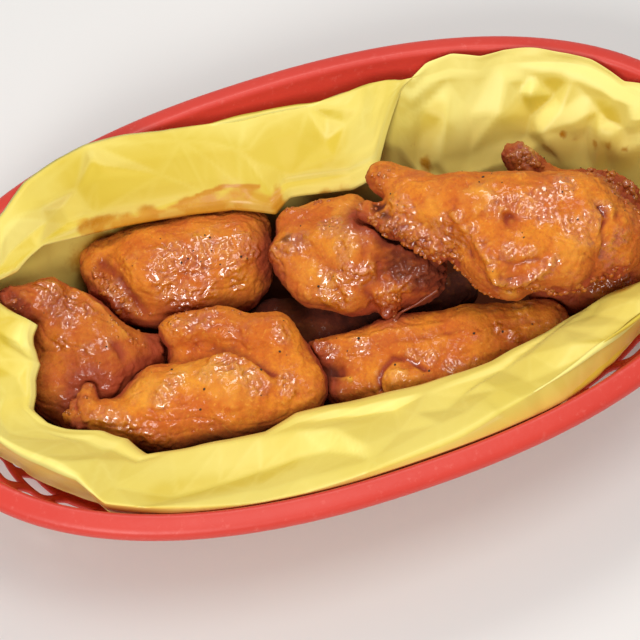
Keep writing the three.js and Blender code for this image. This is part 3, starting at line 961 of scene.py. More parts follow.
# the wing's mesh, its paint and its sauce, clear of the trees of those already finished
def growWing(number, wing, finished):
    remesh = {"mode": "VOXEL", "voxel_size": wingStyle["fineVoxel"]}
    mesh = withModifier(roughWing(number, wing), "REMESH", remesh)
    edges = readEdges(mesh)
    points = smoothed(readPoints(mesh), edges, 4)
    writePoints(mesh, points)
    normals = smoothed(readNormals(mesh), edges, 3)
    paint, sauce = sculpt(number, wing, points, normals, edges)
    for tree in finished:
        points = clearOf(points, tree, wingStyle["gap"], wingStyle["reach"])
    points = insideWall(points, wingStyle["wallGap"], wingStyle["lowest"])
    writePoints(mesh, points)
    return mesh, paint, sauce


relief = {
    # size of the bumps and their height
    "swell": (10, 0.8),
    "lumps": (4.5, 0.3),
    "dimples": (3.6, 0.22),
    "crust": (2.3, 1.0),
    # folds and grooves are drawn out along the wing, and lie in different places
    "stretch": 0.62,
    "folds": (3.4, 0.26),
    "foldAreas": 11,
    "grooves": (5, 0.07, 0.3),  # size, width as a share of it, depth
    # small round bumps, mostly under wet sauce
    "pebbles": (1.5, 0.34),
    "ripples": (1.9, 0.3),
    "dryShare": 0.25,
    "crustPebbles": 0.6,
}


def bumps(name, points, seed, layers=1):
    size, height = relief[name]
    return height * layeredNoise(points, size, seed, layers)


# heights of the skin's own relief
def skinLift(wing, start, crispAndShade, wet, seed):
    axis = np.subtract(wing["lobes"][-1][2], wing["lobes"][0][0]).astype(float)
    axis /= np.linalg.norm(axis)
    drawnOut = start - relief["stretch"] * np.outer(start @ axis, axis)
    lift = bumps("swell", start, seed) + bumps("lumps", start, seed + 1, 2)
    size, height = relief["folds"]
    folds = 1 - np.abs(noiseAt(drawnOut, size, seed + 2)) * 2.2
    foldShare = smoothRamp(noiseAt(start, relief["foldAreas"], seed + 3), -0.1, 0.4)
    lift += height * folds * foldShare + bumps("dimples", start, seed + 10)
    size, width, depth = relief["grooves"]
    lift -= depth * hump(noiseAt(drawnOut, size, seed + 8), width) * (1.1 - foldShare)
    size, height = relief["pebbles"]
    cells = cellDistance(start, size, seed)
    pebbles = height * hump(cells, 0.42)
    size, height = relief["ripples"]
    ripples = height * (1 - 3 * np.abs(noiseAt(start, size, seed + 9)))
    lift += (relief["dryShare"] + (1 - relief["dryShare"]) * wet) * (pebbles + ripples)
    lift += crispAndShade * (bumps("crust", start, seed + 5, 3) + relief["crustPebbles"] * hump(cells, 0.4))
    return lift


# painted shade from the skin's shape and place, and paleness on its ridges, each from no change to the full
# one
tints = {
    "crispAndShadeInHollows": (0.06, 0.5),  # depth
    "crispAndShadeBeside": (7, 0.5),  # distance to another wing
    "shadeOnSides": (0.75, -0.1),  # how far the skin faces up
    "paleRidges": (0.05, 0.4),  # height
    "shadeInHollows": (0.25, 1.1),
    "shadeLowDown": (20, 9),  # above the ground, a little more away from other wings
}


# moves the points in place, and returns the shares of crisp, pale and dark skin, and of sauce; the crisp and
# dark shares carry painted shade too
def sculpt(number, wing, points, normals, edges):
    seed = 10 * number + 3
    start = points.copy()
    crispAndShade, pale, darkAndShade = (patch(start, wing[key], seed + i) for i, key in enumerate(("crispAndShade", "pale", "darkAndShade")))
    film = 0.3 * smoothRamp(noiseAt(start, 8, seed + 4), 0.1, 0.5)
    wet = np.clip(patch(start, wing["wet"], seed + 4) + film, 0, 1)
    lift = skinLift(wing, start, crispAndShade, wet, seed)
    wobble = 1 + 0.3 * noiseAt(start, 2.5, seed + 6)
    for kind, height, width, places in wing["marks"]:
        distance = lineDistance(start, places) if kind == "line" else spotDistance(start, places)
        shape = hump(distance / width, wobble)
        lift += height * shape
        # grooves and pits are painted crisp red too: painted shade in them
        crispAndShade = np.maximum(crispAndShade, min(-height, 1.2) / 1.2 * shape)
    points += normals * lift[:, None]
    hollow = ((smoothed(points, edges, 14) - points) * normals).sum(axis=1)
    near = np.min([wingDistance(start, other["lobes"]) for other in wings if other is not wing], axis=0)
    # painted shade: crisp red in hollows, beside other wings and on the sides that face away from the top,
    # with sauce gathered in the hollows
    crispAndShade = np.clip(0.8 * crispAndShade + 0.6 * smoothRamp(hollow, *tints["crispAndShadeInHollows"]), 0, 1)
    crispAndShade = np.maximum(crispAndShade, smoothRamp(near, *tints["crispAndShadeBeside"]))
    sides = smoothRamp(normals[:, 2], *tints["shadeOnSides"])
    crispAndShade = np.clip(crispAndShade + 0.6 * sides + wing["tan"], 0, 1)
    ridges = smoothRamp(-hollow, *tints["paleRidges"])
    pale = np.clip(pale * (0.6 + 0.5 * noiseAt(start, 4, seed + 7)) + 0.3 * ridges, 0, 1)
    # painted shade: near black in hollows and low down, a little more away from other wings
    darkAndShade = np.maximum(darkAndShade, 0.5 * smoothRamp(hollow, *tints["shadeInHollows"]))
    darkAndShade = np.maximum(darkAndShade, 0.95 * smoothRamp(start[:, 2] - 0.4 * near, *tints["shadeLowDown"]))
    darkAndShade *= 1 - 0.8 * pale
    full = np.ones(len(crispAndShade))
    return np.stack([crispAndShade, pale, darkAndShade, full], axis=1), np.stack([wet, wet, wet, full], axis=1)


skin = makeSkin()
trees = []
for number, wing in enumerate(wings):
    mesh, paint, sauce = growWing(number, wing, trees)
    trees.append(treeOf(mesh))
    addPaint(mesh, "paint", paint)
    addPaint(mesh, "sauce", sauce)
    finishPiece(wing["name"] + "_meat", mesh, skin, [wing["name"]])

pepper = {
    "spots": [  # listed one by one; the loose specks lie anywhere
        (-27, 28, 37), (-26, 27, 37), (-34, 23, 37), (-36, 22, 37), (-20, 19, 36),
        (20, 14, 53), (43, 4, 58), (45, 6, 58), (63, -16, 58), (62, -8, 60),
        (-43, -16, 34), (-46, -20, 32), (-26, -15, 36), (-21, -14, 36), (-49, -6, 33), (-63, 7, 33),
        (-4, 1, 37), (16, -29, 28), (8, -24, 29), (31, -24, 31), (39, -26, 30), (48, -25, 28), (2, -13, 29),
    ],
    "radius": (0.26, 0.42),
    "loose": 110,
    "looseRadius": (0.1, 0.24),
    "seed": 3,
}
crumbs = {
    # number, reach and radii of the crumbs along a line
    "clusters": [
        (70, 2.2, (0.5, 1.2), [(15, 13, 48), (17, 7, 46), (22, 2, 47), (26, -3, 45), (29, -7, 45),
                               (31, -8, 47)]),
        (24, 1.4, (0.4, 0.9), [(29, -9, 43), (32, -14, 43), (38, -21, 42)]),
        (30, 2.4, (0.4, 1.1), [(-57, 33, 30), (-55, 26, 28), (-53, 20, 26)]),
        (12, 1.6, (0.4, 0.8), [(11, -5, 35), (15, -7, 34), (13, -9, 28)]),
        (30, 2.4, (0.5, 1.1), [(60, 22, 39), (64, 18, 39), (68, 12, 37)]),
        (60, 2.4, (0.4, 1.1), [(44, -26, 46), (50, -26, 43.5), (55, -27, 43), (62, -28, 42), (74, -25, 43)]),
        (10, 1.2, (0.3, 0.7), [(-79, -6, 27), (-75, -8, 30), (-71, -1, 29)]),
        (10, 1.5, (0.3, 0.8), [(-84, 27, 39), (-80, 24, 37)]),
        (40, 2.8, (0.5, 1.2), [(76, 9, 38), (82, 6, 38), (86, 2, 38), (88, -2, 36)]),
        (20, 2.6, (0.4, 1.0), [(72, -4, 57), (77, -7, 54), (81, -14, 50), (80, -20, 48)]),
        (12, 1.6, (0.3, 0.8), [(19, 21, 52), (22, 18, 52), (17, 14, 49)]),
        (7, 1.2, (0.3, 0.7), [(-9, -10, 27), (-5, -12, 28)]),
        (22, 1.6, (0.3, 0.7), [(-46, 9, 30), (-40, 10, 32), (-32, 7, 34), (-24, 2, 35)]),
        (16, 1.6, (0.3, 0.8), [(-52, 17, 26), (-44, 12, 27), (-36, 11, 26)]),
        (16, 1.8, (0.3, 0.8), [(-60, 16, 32), (-57, 9, 30), (-52, 7, 26)]),
        (14, 1.4, (0.3, 0.7), [(-4, 28, 38), (4, 27, 40), (12, 25, 41)]),
    ],
    "seed": 11,
    # limits of the shares in each crumb's colour, and its sauce
    "crispAndShade": (0.2, 0.75),
    "pale": (0, 0.15),
    "darkAndShade": (0, 0.1),
    "wet": 0.45,
}
pepperLump = {"facets": 6, "ragged": 0.3, "squash": 0.75, "lift": 0.1}
crumbLump = {"facets": 7, "ragged": 0.75, "squash": 0.75, "lift": -0.3}  # sunk into the skin


# puts an uneven ball on the nearest skin, lifted by a share of its radius
def placeLump(bm, place, radius, seed, lump):
    hits = [tree.find_nearest(Vector(place)) for tree in trees]
    spot, normal, _, _ = min((hit for hit in hits if hit[0]), key=lambda hit: hit[3])
    columns, rows = lump["facets"] + 1, lump["facets"] - 1
    made = bmesh.ops.create_uvsphere(bm, u_segments=columns, v_segments=rows, radius=1)["verts"]
    points = np.array([vertex.co for vertex in made])
    shares = 1 + lump["ragged"] * layeredNoise(points, 1.3, seed, 2)
    spin = normal.to_track_quat("Z", "Y").to_matrix()
    for vertex, share in zip(made, shares):
        shape = vertex.co * float(share) * radius
        shape.z *= lump["squash"]
        vertex.co = spot + normal * radius * lump["lift"] + spin @ shape


def makePepper(material):
    chooser = random.Random(pepper["seed"])
    bm = bmesh.new()
    for i, place in enumerate(pepper["spots"]):
        placeLump(bm, place, chooser.uniform(*pepper["radius"]), i, pepperLump)
    for i in range(pepper["loose"]):
        low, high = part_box(chooser.choice(wings)["name"])
        place = [chooser.uniform(a, b) / mm for a, b in zip(low, high)]
        place[2] = high[2] / mm
        placeLump(bm, place, chooser.uniform(*pepper["looseRadius"]), i, pepperLump)
    finishPiece("pepper_specks", meshFrom(bm, "pepper_specks"), material)


def makeCrumbs(material):
    chooser = random.Random(crumbs["seed"])
    bm = bmesh.new()
    shares = []
    for count, reach, radii, line in crumbs["clusters"]:
        for _ in range(count):
            along = chooser.uniform(0, len(line) - 1.001)
            place = Vector(line[int(along)]).lerp(Vector(line[int(along) + 1]), along % 1)
            place += Vector([chooser.gauss(0, reach * 0.6) for _ in range(3)])
            placeLump(bm, place, chooser.uniform(*radii), len(shares), crumbLump)
            shares.append([chooser.uniform(*crumbs[key]) for key in ("crispAndShade", "pale", "darkAndShade")] + [1])
    mesh = meshFrom(bm, "crispy_crumbs")
    each = len(mesh.vertices) // len(shares)
    addPaint(mesh, "paint", np.repeat(shares, each, axis=0))
    addPaint(mesh, "sauce", np.full((len(mesh.vertices), 4), crumbs["wet"]))
    finishPiece("crispy_crumbs", mesh, material)


# a string of sauce between the middle wing and the one in front of it
sauceString = {
    "lobes": [
        ((13, -11.6, 29.6), 0.7, (15.5, -9.6, 29.3), 0.36),
        ((15.5, -9.6, 29.3), 0.36, (20, -9, 29.6), 0.36),
        ((20, -9, 29.6), 0.36, (27, -7.3, 30.4), 0.7),
    ],
    "voxel": 0.14,
    "paint": (0.9, 0, 0.4, 1),
}


def makeString(material):
    remesh = {"mode": "VOXEL", "voxel_size": sauceString["voxel"]}
    mesh = withModifier(lobeMesh(sauceString["lobes"]), "REMESH", remesh)
    writePoints(mesh, smoothed(readPoints(mesh), readEdges(mesh), 6))
    addPaint(mesh, "paint", np.tile(sauceString["paint"], (len(mesh.vertices), 1)))
    addPaint(mesh, "sauce", np.ones((len(mesh.vertices), 4)))
    finishPiece("sauce_string", mesh, material)


makePepper(makeSpeck())
makeCrumbs(skin)
makeString(skin)

paper = {
    "floorHeight": 3.4,
    "floorInset": 36,
    "floorHalfway": 52,  # inset of a point halfway over the floor
    "columns": 560,
    "rows": 84,
    "thickness": 0.28,
    "wallGap": 1.3,  # from the basket's wall
    "lowest": 3.2,
    "wingGap": 0.5,
    "reach": 3.0,  # points within this distance of a wing are kept clear of it
    "farthest": 12,  # wings farther away than this leave no grease
    "wave": 1.4,  # how far the free edge weaves in and out
    "creaseWidth": (1.1, 0.2),  # from no crease to a full one
    "creasedHeights": (8, 22),  # from flat paper to dented
    "greasyNear": (6, 0.6),  # distances to a wing, from clean paper to greasy
    # below these heights the paper is painted dark: sauce soak and painted shade
    "soakedShadeHeights": (21, 9),
    "paintedLightFrom": (0.05, 0.45, 0.9),  # painted sheen: facets that tilt this way are painted paler, as light on waxed paper makes them
    "planWidth": 560,  # of the flattened sheet on which the creases are laid out, round the basket
    "planDepth": 120,
    # bearings in degrees from +X, then a height and an inset for each of three lines round the sheet:
    # where it leaves the basket's wall, its crest, and its free edge
    "stands": [
        (-180, (40, 11), (47, 13), (37, 34.5)),
        (-176, (40, 11), (47, 13.5), (37, 33)),
        (-172, (37, 14), (47, 14), (36, 30.5)),
        (-165, (36, 17), (47, 15), (34, 31)),
        (-150, (36, 18), (46.5, 15.5), (32, 37)),
        (-142, (37, 16.5), (46, 14), (31, 36.5)),
        (-135, (40, 10), (43.5, 9.5), (30, 32.4)),
        (-123, (41.5, 8.4), (43, 9.2), (31, 34.2)),
        (-110, (41.5, 7.2), (43, 8), (31, 35)),
        (-104, (41.5, 7), (43.5, 8), (31, 38.5)),
        (-98, (41, 7), (44, 8.5), (31, 38)),
        (-86, (41, 7), (45.5, 9.5), (32, 35)),
        (-80, (41, 7), (47, 11), (33, 33.5)),
        (-72, (41, 8), (48, 12), (34, 31.5)),
        (-62, (40, 11), (48, 13.5), (35, 31.3)),
        (-48, (37, 15), (48, 14), (36, 30)),
        (-35, (35, 17), (48, 14), (38, 24)),
        (-20, (35, 17.5), (47, 14), (41, 20)),
        (0, (36, 16.5), (46.5, 13), (42, 17)),
        (15, (40, 14), (46, 12), (42, 14)),
        (23, (34, 19), (44, 12), (47, 10.4)),
        (27, (33, 20), (44, 12.5), (46, 11)),
        (31, (32, 20), (44.5, 11.5), (47, 9.6)),
        (36, (29, 22.5), (45, 10.5), (48, 8.2)),
        (41, (26, 26), (45, 10.5), (48.5, 7.8)),
        (47, (23, 29), (45, 10.8), (48.5, 8)),
        (53, (21, 31), (45, 11), (48, 8.2)),
        (57, (21, 32), (44.5, 12.4), (47.5, 10)),
        (62, (21, 32.5), (45, 11.8), (48, 9)),
        (66, (24, 31), (44.5, 13), (47, 10.8)),
        (70, (31, 27), (46, 14.5), (44, 17)),
        (72.5, (34, 26), (47, 14), (40, 27)),
        (75, (38, 24), (47, 14), (36, 38)),
        (80, (38, 21), (47, 15.8), (35, 40)),
        (84, (38, 18), (47, 16), (35, 38.5)),
        (90, (38, 17), (47, 14), (35, 36.5)),
        (93, (38, 16), (47.5, 13.5), (34, 39.5)),
        (96, (38, 16), (48, 13), (35, 37)),
        (99, (39, 15), (48.5, 12), (35, 34)),
        (103, (40, 14), (49.5, 10.8), (35, 32)),
        (108, (42, 11), (51.5, 8.6), (35, 29.4)),
        (114, (42, 10), (53, 6.8), (35, 25.6)),
        (119, (42, 10), (54, 7), (35, 22.8)),
        (126, (42, 10), (54, 7.2), (37, 20)),
        (132, (42, 11), (51, 9), (42, 19.4)),
        (141, (42, 11), (49, 11), (42, 20)),
        (147, (42, 11), (48, 12), (43, 17)),
        (150, (42, 11), (48, 12), (41, 20)),
        (152.5, (42, 11), (48, 12), (39, 27)),
        (154.5, (42, 11), (48, 12), (38, 33)),
        (163, (42, 11), (48, 13), (37, 34)),
        (172, (41, 11), (47.5, 13), (37, 36.5)),
        (180, (40, 11), (47, 13), (37, 34.5)),
    ],
    # how strongly the sheet is crumpled at bearings, and how far its folded part bellies out
    "crumple": [
        (-180, 0.6), (-160, 0.4), (-140, 0.25), (-100, 0.25), (-80, 0.4), (-60, 0.5), (-30, 0.8), (20, 0.6),
        (80, 0.5), (95, 0.3), (125, 0.3), (145, 0.5), (180, 0.6),
    ],
    "belly": [
        (-180, 1), (-140, 0.4), (-100, 0.4), (-70, 1.5), (0, 1), (22, 0), (68, 0), (75, 1), (85, 2.5),
        (115, 3), (130, 2), (180, 1),
    ],
    # painted light: paleness added at bearings, most on the far right where the sheet stands in shade
    "pale": [
        (-180, 0.1), (-160, 0.15), (-140, 0), (5, 0), (20, 0.32), (66, 0.32), (72, 0), (160, 0), (180, 0.1),
    ],
    # which share of the rows lies before each of these points of the section
    "bends": ((0, 0), (2, 0.1), (5, 0.34), (6, 0.62), (10, 1)),
    "calm": ((72, 3.5), (152, 3.5)),  # bearings where the flap's width changes, and how far that reaches
    # between these bearings the sheet stands up, and its corners are kept low near its free edge: distances
    # from the edge, with the share of the corners' heights that is left
    "upright": (15, 69),
    "uprightCorners": [(8, 0.25), (15, 0.8)],
    # corners of creases listed one by one: bearing, distance from the free edge, height
    "sharpness": 0.8,  # multiplies their heights
    "corners": [
        (62.5, 5.5, 1.6), (62, 8.5, -1.4), (61.5, 18.5, 2.6), (62, 30.5, 2), (66, 7.5, 1.2),
        (66.5, 12.5, -1.2), (66.5, 21, -3), (66.5, 29.5, -2.5), (68, 9, -1.2), (57.5, 17, -1.5),
        (56, 22.5, -2.5), (56, 30, -3.5), (58, 37.5, 0.5), (52, 41.5, -1), (54, 5, -1.8), (48.5, 13, -1.5),
        (51.5, 9, 1.8), (51, 19, 2), (44.5, 20, -2.5), (44.5, 25.5, -4), (46.5, 8, -2), (45.5, 13, 4),
        (40, 23.5, 4.5), (32.5, 31.5, 4), (41, 13.5, -2), (38.5, 7.5, 2.2), (38, 16.5, 2.5), (34, 10, -1.8),
        (26.5, 5.5, 2), (21.5, 14.5, -2.5), (34, 18.5, 2.5), (30.5, 22, -2), (24.5, 30.5, 2.5),
        (29.5, 11.5, -1.6), (25, 17.5, 3), (21.5, 30, -2.5), (17.5, 19, 2), (16, 28, -1.5),
        (84.5, 24.5, -0.8), (82.5, 20.5, 1.6), (79.5, 18.5, 1.4), (76.5, 14, 1),
        (71.5, 36, 2), (83, 14.5, -1.2), (82.5, 9.5, 1), (77, 19.5, 1.2), (79.5, 23, -0.4),
        (76, 26.5, 1.2), (71, 17, -1.5), (96.5, 7.5, -0.8), (102, 6, -0.8), (89.5, 6, 1), (92, 4.5, -1),
        (94.5, 3, 0.8), (101.5, 22, 0.5), (94.5, 19, -0.5), (107, 13.5, 0.5),
        (114, 26, 0.8), (114.5, 22, -1.1), (113.5, 19, -1), (116, 16, 0.5), (119.5, 6, 1.2), (120, 15, 1.2),
        (123.5, 10.5, -1.2), (124, 5, -1.2), (120.5, 8.5, 1.2), (129, 16, 1.2), (127.5, 12.5, 1.6),
        (128, 7.5, 0.6), (132, 4.5, -1.3), (133, 0.5, 0.2), (139, 5, -1.2), (134.5, 11.5, 1.4),
        (146, 3, -0.6), (155, 3, 1.8), (160, 12, -1.8), (163, 4, -1.2), (167, 9, 1.8), (171, 15, -1.4),
        (172, 3, 1.6), (177, 5, -1.4), (-175.5, 3.5, 0.8), (-177.5, 9, -1),
        (-161, 26.5, 1.8), (-153, 27, 2), (-147, 25, 2.4), (-141, 17, 2.4), (-136, 19, 0.8),
        (-129.5, 28, 0), (-137.5, 30, 0), (-146, 31.5, 0), (-144, 8.5, -0.8), (-145.5, 15.5, 0.6),
        (-162.5, 7, 0.7), (-165, 15, -0.8), (-153.5, 9.5, 0.4), (-162, 21, 0.8),
        (-137.5, 9.5, 1.8), (-128.5, 4, 2.2), (-118.5, 3.5, 2.2), (-111, 4, 2.2), (-103.5, 10, 2),
        (-98.5, 12, 1.8), (-123.5, 21.5, -2.2), (-117, 17.5, -2.5), (-110.5, 14.5, -2.5), (-104, 17, -2.2),
        (-100, 17.5, -2), (-97.5, 14.5, 1.6), (-95, 22.5, 1.2), (-96.5, 22.5, -1.2), (-119.5, 26, 0.3),
        (-104.5, 28, 0.4), (-112, 24.5, 0.2), (-95, 28, 0.3),
        (-52.5, 21, -2), (-58, 21, -2), (-63.5, 20, -2), (-68, 19, -1.7), (-72.5, 18.5, -1.2),
        (-62.5, 16, 0.9), (-58.5, 4, 1.3), (-64, 7.5, 1.2), (-51.5, 4.5, -0.8), (-46, 0.5, 0.8),
        (-68, 9.5, 1.1), (-72.5, 6.5, -0.9), (-77.5, 12, 1.2), (-81, 11.5, -1.3), (-84, 15, -1.3),
        (-86.5, 22.5, 1.1), (-82.5, 22, 0.9), (-77, 18, 0.8), (-88, 14.5, 0.8), (-89.5, 7.5, -1.3),
        (-85, 7, 1.4), (-90.5, 19, -0.6), (-93, 13, 0.4), (-47, 15.5, 0.6),
    ],
    # random creases: spacing round and up the sheet, and how far the paper is dented
    "facets": (((15, 24), 2.4), ((9, 12), 0.3)),
    # painted shade (deeper yellow) and painted light (paler parts): reach, strength, then bearings and
    # distances from the free edge
    "paintedShadingPatches": (
        (17, -0.45, [(116, 15), (104, 14), (94, 12), (84, 12)]),
        (9, -0.5, [(158, 12), (166, 13), (173, 11)]),
        (6, -0.4, [(148, 16), (142, 14)]),
        (5, 0.3, [(153, 3), (164, 4)]),
        (9, -0.6, [(41, 12), (46, 20)]),
        (8, -0.6, [(28, 12), (24, 18)]),
        (7, -0.6, [(64, 16), (66, 24)]),
        (8, 0.3, [(55, 14), (57, 24)]),
        (9, -0.35, [(-126, 20), (-114, 17), (-106, 16)]),
        (6, -0.3, [(-64, 20), (-54, 21)]),
    ),
    # greasy spots inside, by their places
    "drips": (
        (2.4, 0.9, [(40.6, 38.8, 30), (41.9, 37, 25), (42, 40, 34)]),
        (1.7, 0.8, [(80, 29, 30), (84, 26, 28), (88, 23, 29), (91, 21, 30), (94, 18, 30)]),
    ),
    # greasy lines: width, strength, then bearings and distances from the free edge
    "grease": (
        (1.0, 0.9, [(118, 1.5), (112, 2), (107, 3.5), (102, 6), (98, 7.5), (94, 8)]),
        (6, 0.75, [(122, 0), (116, 0), (110, 0.5), (104, 1), (97, 2), (92, 3)]),
        (3, 0.7, [(96, 6), (94, 3), (92, 1)]),
        (4, 0.5, [(66, 38), (65, 34), (64.5, 30)]),
        (1.4, 0.8, [(-85, 0), (-80, 1), (-77, 0)]),
    ),
}


# the three lines' heights and insets at a bearing
def paperRow(bearing):
    stands = paper["stands"]
    after = next(i for i, row in enumerate(stands) if i and row[0] >= bearing)
    low, high = stands[after - 1], stands[after]
    share = (bearing - low[0]) / (high[0] - low[0])
    return [np.array(a) + (np.array(b) - np.array(a)) * share for a, b in zip(low[1:], high[1:])]


# insets and heights down the middle of the sheet at a bearing: floor, side, crest and flap
def paperSection(bearing):
    shoulder, crest, edge = paperRow(bearing)
    belly = valueAt(paper["belly"], bearing)
    foot = np.array((paper["floorHeight"], paper["floorInset"]))
    section = [(paper["floorHeight"], inset) for inset in (plan["width"] / 2, paper["floorHalfway"])]
    for up, out in ((0, 0), (0.25, 0.5), (0.6, 0.8), (1, 1)):
        section.append(foot + (shoulder - foot) * (up, out))
    for share in (0, 0.08, 0.4, 0.7, 1):
        lift = belly * math.sin(math.pi * share)
        section.append(crest + (edge - crest) * share + (lift, -0.4 * lift))
    return np.array(section)[:, ::-1]


# insets, heights and distances along a section at shares of the rows; each bend keeps to one row
def alongSection(section, shares):
    lengths = np.concatenate([[0], np.cumsum(np.hypot(*np.diff(section, axis=0).T))])
    bends, bendShares = zip(*paper["bends"])
    spots = np.interp(shares, bendShares, lengths[list(bends)])
    return np.interp(spots, lengths, section[:, 0]), np.interp(spots, lengths, section[:, 1]), spots


# corners of random creases over the flattened sheet, clear of those that are listed
def looseCorners(spacing, dent, strength, fixed, seed):
    chooser = random.Random(seed)
    width, depth = paper["planWidth"], paper["planDepth"]
    corners = list(fixed)
    for _ in range(int(width * depth / spacing[0] / spacing[1])):
        x, y = chooser.uniform(0, width), chooser.uniform(-8, depth + 8)
        lift = chooser.gauss(0, 1) * dent * np.interp(x / width, *strength)
        if all(math.hypot((x - a) / spacing[0], (y - b) / spacing[1]) > 0.8 for a, b, _ in fixed):
            corners.append((x, y, lift))
    return corners


# flat facets between corners: heights at spots of a sheet that repeats round the basket, and the
# spots' distances from the creases
def facetHeights(spots, corners):
    width = paper["planWidth"]
    spread = [(x + shift, y, z) for shift in (-width, 0, width) for x, y, z in corners]
    spread = [Vector(corner) for corner in spread if -50 < corner[0] < width + 50]
    faces = delaunay_2d_cdt([corner.xy for corner in spread], [], [], 0, 1e-6)[2]
    tree = BVHTree.FromPolygons(spread, faces)
    heights, lines = np.zeros(len(spots)), np.full(len(spots), 9.0)
    for i, (x, y) in enumerate(spots):
        hit, _, index, _ = tree.ray_cast(Vector((x, y, 50)), Vector((0, 0, -1)))
        if hit:
            heights[i] = hit.z
            sides = [spread[corner].xy for corner in faces[index]]
            for start, end in zip(sides, sides[1:] + sides[:1]):
                lines[i] = min(lines[i], abs((end - start).normalized().cross(hit.xy - start)))
    return heights, lines


# the place on the flattened sheet of a point given by its bearing and its distance from the free edge
def onSheet(bearing, run):
    turns = np.linspace(0, 1, 361)
    turn = np.interp(math.radians(bearing % 360), evenBearings(turns), turns)
    return turn * paper["planWidth"], paper["planDepth"] - run


# distances on the flattened sheet to a line of bearings and distances from the free edge
def sheetDistance(flat, line):
    return lineDistance(flat, [(*onSheet(*place), 0) for place in line])


def cornerShare(bearing, run):
    low, high = paper["upright"]
    return paper["sharpness"] * (valueAt(paper["uprightCorners"], run) if low < bearing < high else 1)


# a flat round sheet, and the column and the row of each of its points
def blankSheet():
    columns, rows = paper["columns"], paper["rows"]
    insets = np.linspace(plan["width"] / 2 - 10, 0, rows)
    mesh = meshFrom(spinSection([(inset, 0) for inset in insets], columns), "paper")
    x, y, _ = readPoints(mesh).T
    radius = np.hypot(x, y)
    row = np.round((radius - radius.min()) / (radius.max() - radius.min()) * (rows - 1)).astype(int)
    turn = np.arctan2(y, x) % (2 * math.pi) / (2 * math.pi)
    return mesh, np.round(turn * columns).astype(int) % columns, row


# insets, heights and distances up the flattened sheet by column and row, before it is creased
def drapeSheet(bearings, degrees):
    shares = np.linspace(0, 1, paper["rows"])
    insets, heights, runs = np.empty((3, len(degrees), len(shares)))
    for i, bearing in enumerate(degrees):
        insets[i], heights[i], spots = alongSection(paperSection(bearing), shares)
        runs[i] = spots - spots[-1] + paper["planDepth"]
    circle = 60 * np.stack([np.cos(bearings), np.sin(bearings), bearings * 0], axis=1)
    wave = paper["wave"] * noiseAt(circle, 9, 3) * valueAt(paper["crumple"], degrees)
    insets += wave[:, None] * smoothRamp(shares, 0.8, 1)
    return insets, heights, runs


# how far the sheet is dented, and where it is creased as a share, by column and row
def creaseSheet(degrees, heights, runs):
    columns, rows = runs.shape
    bearings, strengths = zip(*paper["crumple"])
    turns = np.interp(bearings, np.sort(degrees), np.argsort(degrees) / columns)
    order = np.argsort(turns)
    strength = turns[order], np.array(strengths)[order]
    fixed = []
    for bearing, run, lift in paper["corners"]:
        fixed.append((*onSheet(bearing, run), lift * cornerShare(bearing, run)))
    spots = [(i / columns * paper["planWidth"], run) for i in range(columns) for run in runs[i]]
    dents, creases = np.zeros((2, columns, rows))
    for seed, (spacing, dent) in enumerate(paper["facets"]):
        corners = looseCorners(spacing, dent, strength, [] if seed else fixed, seed + 5)
        lifts, lines = facetHeights(spots, corners)
        dents += lifts.reshape(columns, rows)
        sharp = smoothRamp(lines, *paper["creaseWidth"]).reshape(columns, rows)
        creases = np.maximum(creases, sharp / (1 + seed))
    for middle, spread in paper["calm"]:
        dents *= (1 - 0.85 * hump(degrees - middle, spread))[:, None]
    return dents * smoothRamp(heights, *paper["creasedHeights"]), creases


# moves points clear of the wings, and returns their distances to the nearest wing
def restOnWings(points):
    near = np.full(len(points), float(paper["farthest"]))
    for tree in trees:
        for i, point in enumerate(points):
            distance = tree.find_nearest(Vector(point), paper["farthest"])[3]
            if distance is not None:
                near[i] = min(near[i], distance)
        clearOf(points, tree, paper["wingGap"], paper["reach"])
    return near


# Shares of grease, of sauce soak with painted shade, and of painted light and shade. Points have their places
# on the flattened sheet, their distances to the nearest wing, and the painted light that tilt, creases and
# bearing add.
def stainAndShadeSheet(points, flat, near, light):
    grease = np.maximum(smoothRamp(near, *paper["greasyNear"]), patch(points, paper["drips"], 31))
    for spread, strength, line in paper["grease"]:
        distance = sheetDistance(flat, line) + 0.5 * spread * noiseAt(points, 5, 21)
        grease = np.maximum(grease, strength * (1 - smoothRamp(distance, 0.3 * spread, spread)))
    paintedShading = np.full(len(points), 0.5)
    for reach, strength, line in paper["paintedShadingPatches"]:
        paintedShading += strength * (1 - smoothRamp(sheetDistance(flat, line), 0.2 * reach, reach))
    soakedShade = smoothRamp(points[:, 2], *paper["soakedShadeHeights"])
    return np.stack([grease, soakedShade, np.clip(paintedShading + light, 0, 1), np.ones(len(points))], axis=1)


# joins the sheet's middle and gives it its thickness; its underside is neither soaked nor painted in shade
def thickenSheet(mesh):
    bm = bmesh.new()
    bm.from_mesh(mesh)
    bmesh.ops.remove_doubles(bm, verts=bm.verts, dist=0.02)
    bmesh.ops.recalc_face_normals(bm, faces=bm.faces)
    bm.to_mesh(mesh)
    bm.free()
    mesh = withModifier(mesh, "SOLIDIFY", {"thickness": paper["thickness"], "offset": 0})
    attribute = mesh.color_attributes["stainAndShading"].data
    stainAndShading = np.empty(len(attribute) * 4, dtype=np.float32)
    attribute.foreach_get("color", stainAndShading)
    stainAndShading[1::4] *= smoothRamp(readNormals(mesh)[:, 2], -0.1, 0.3)
    attribute.foreach_set("color", stainAndShading)
    return mesh


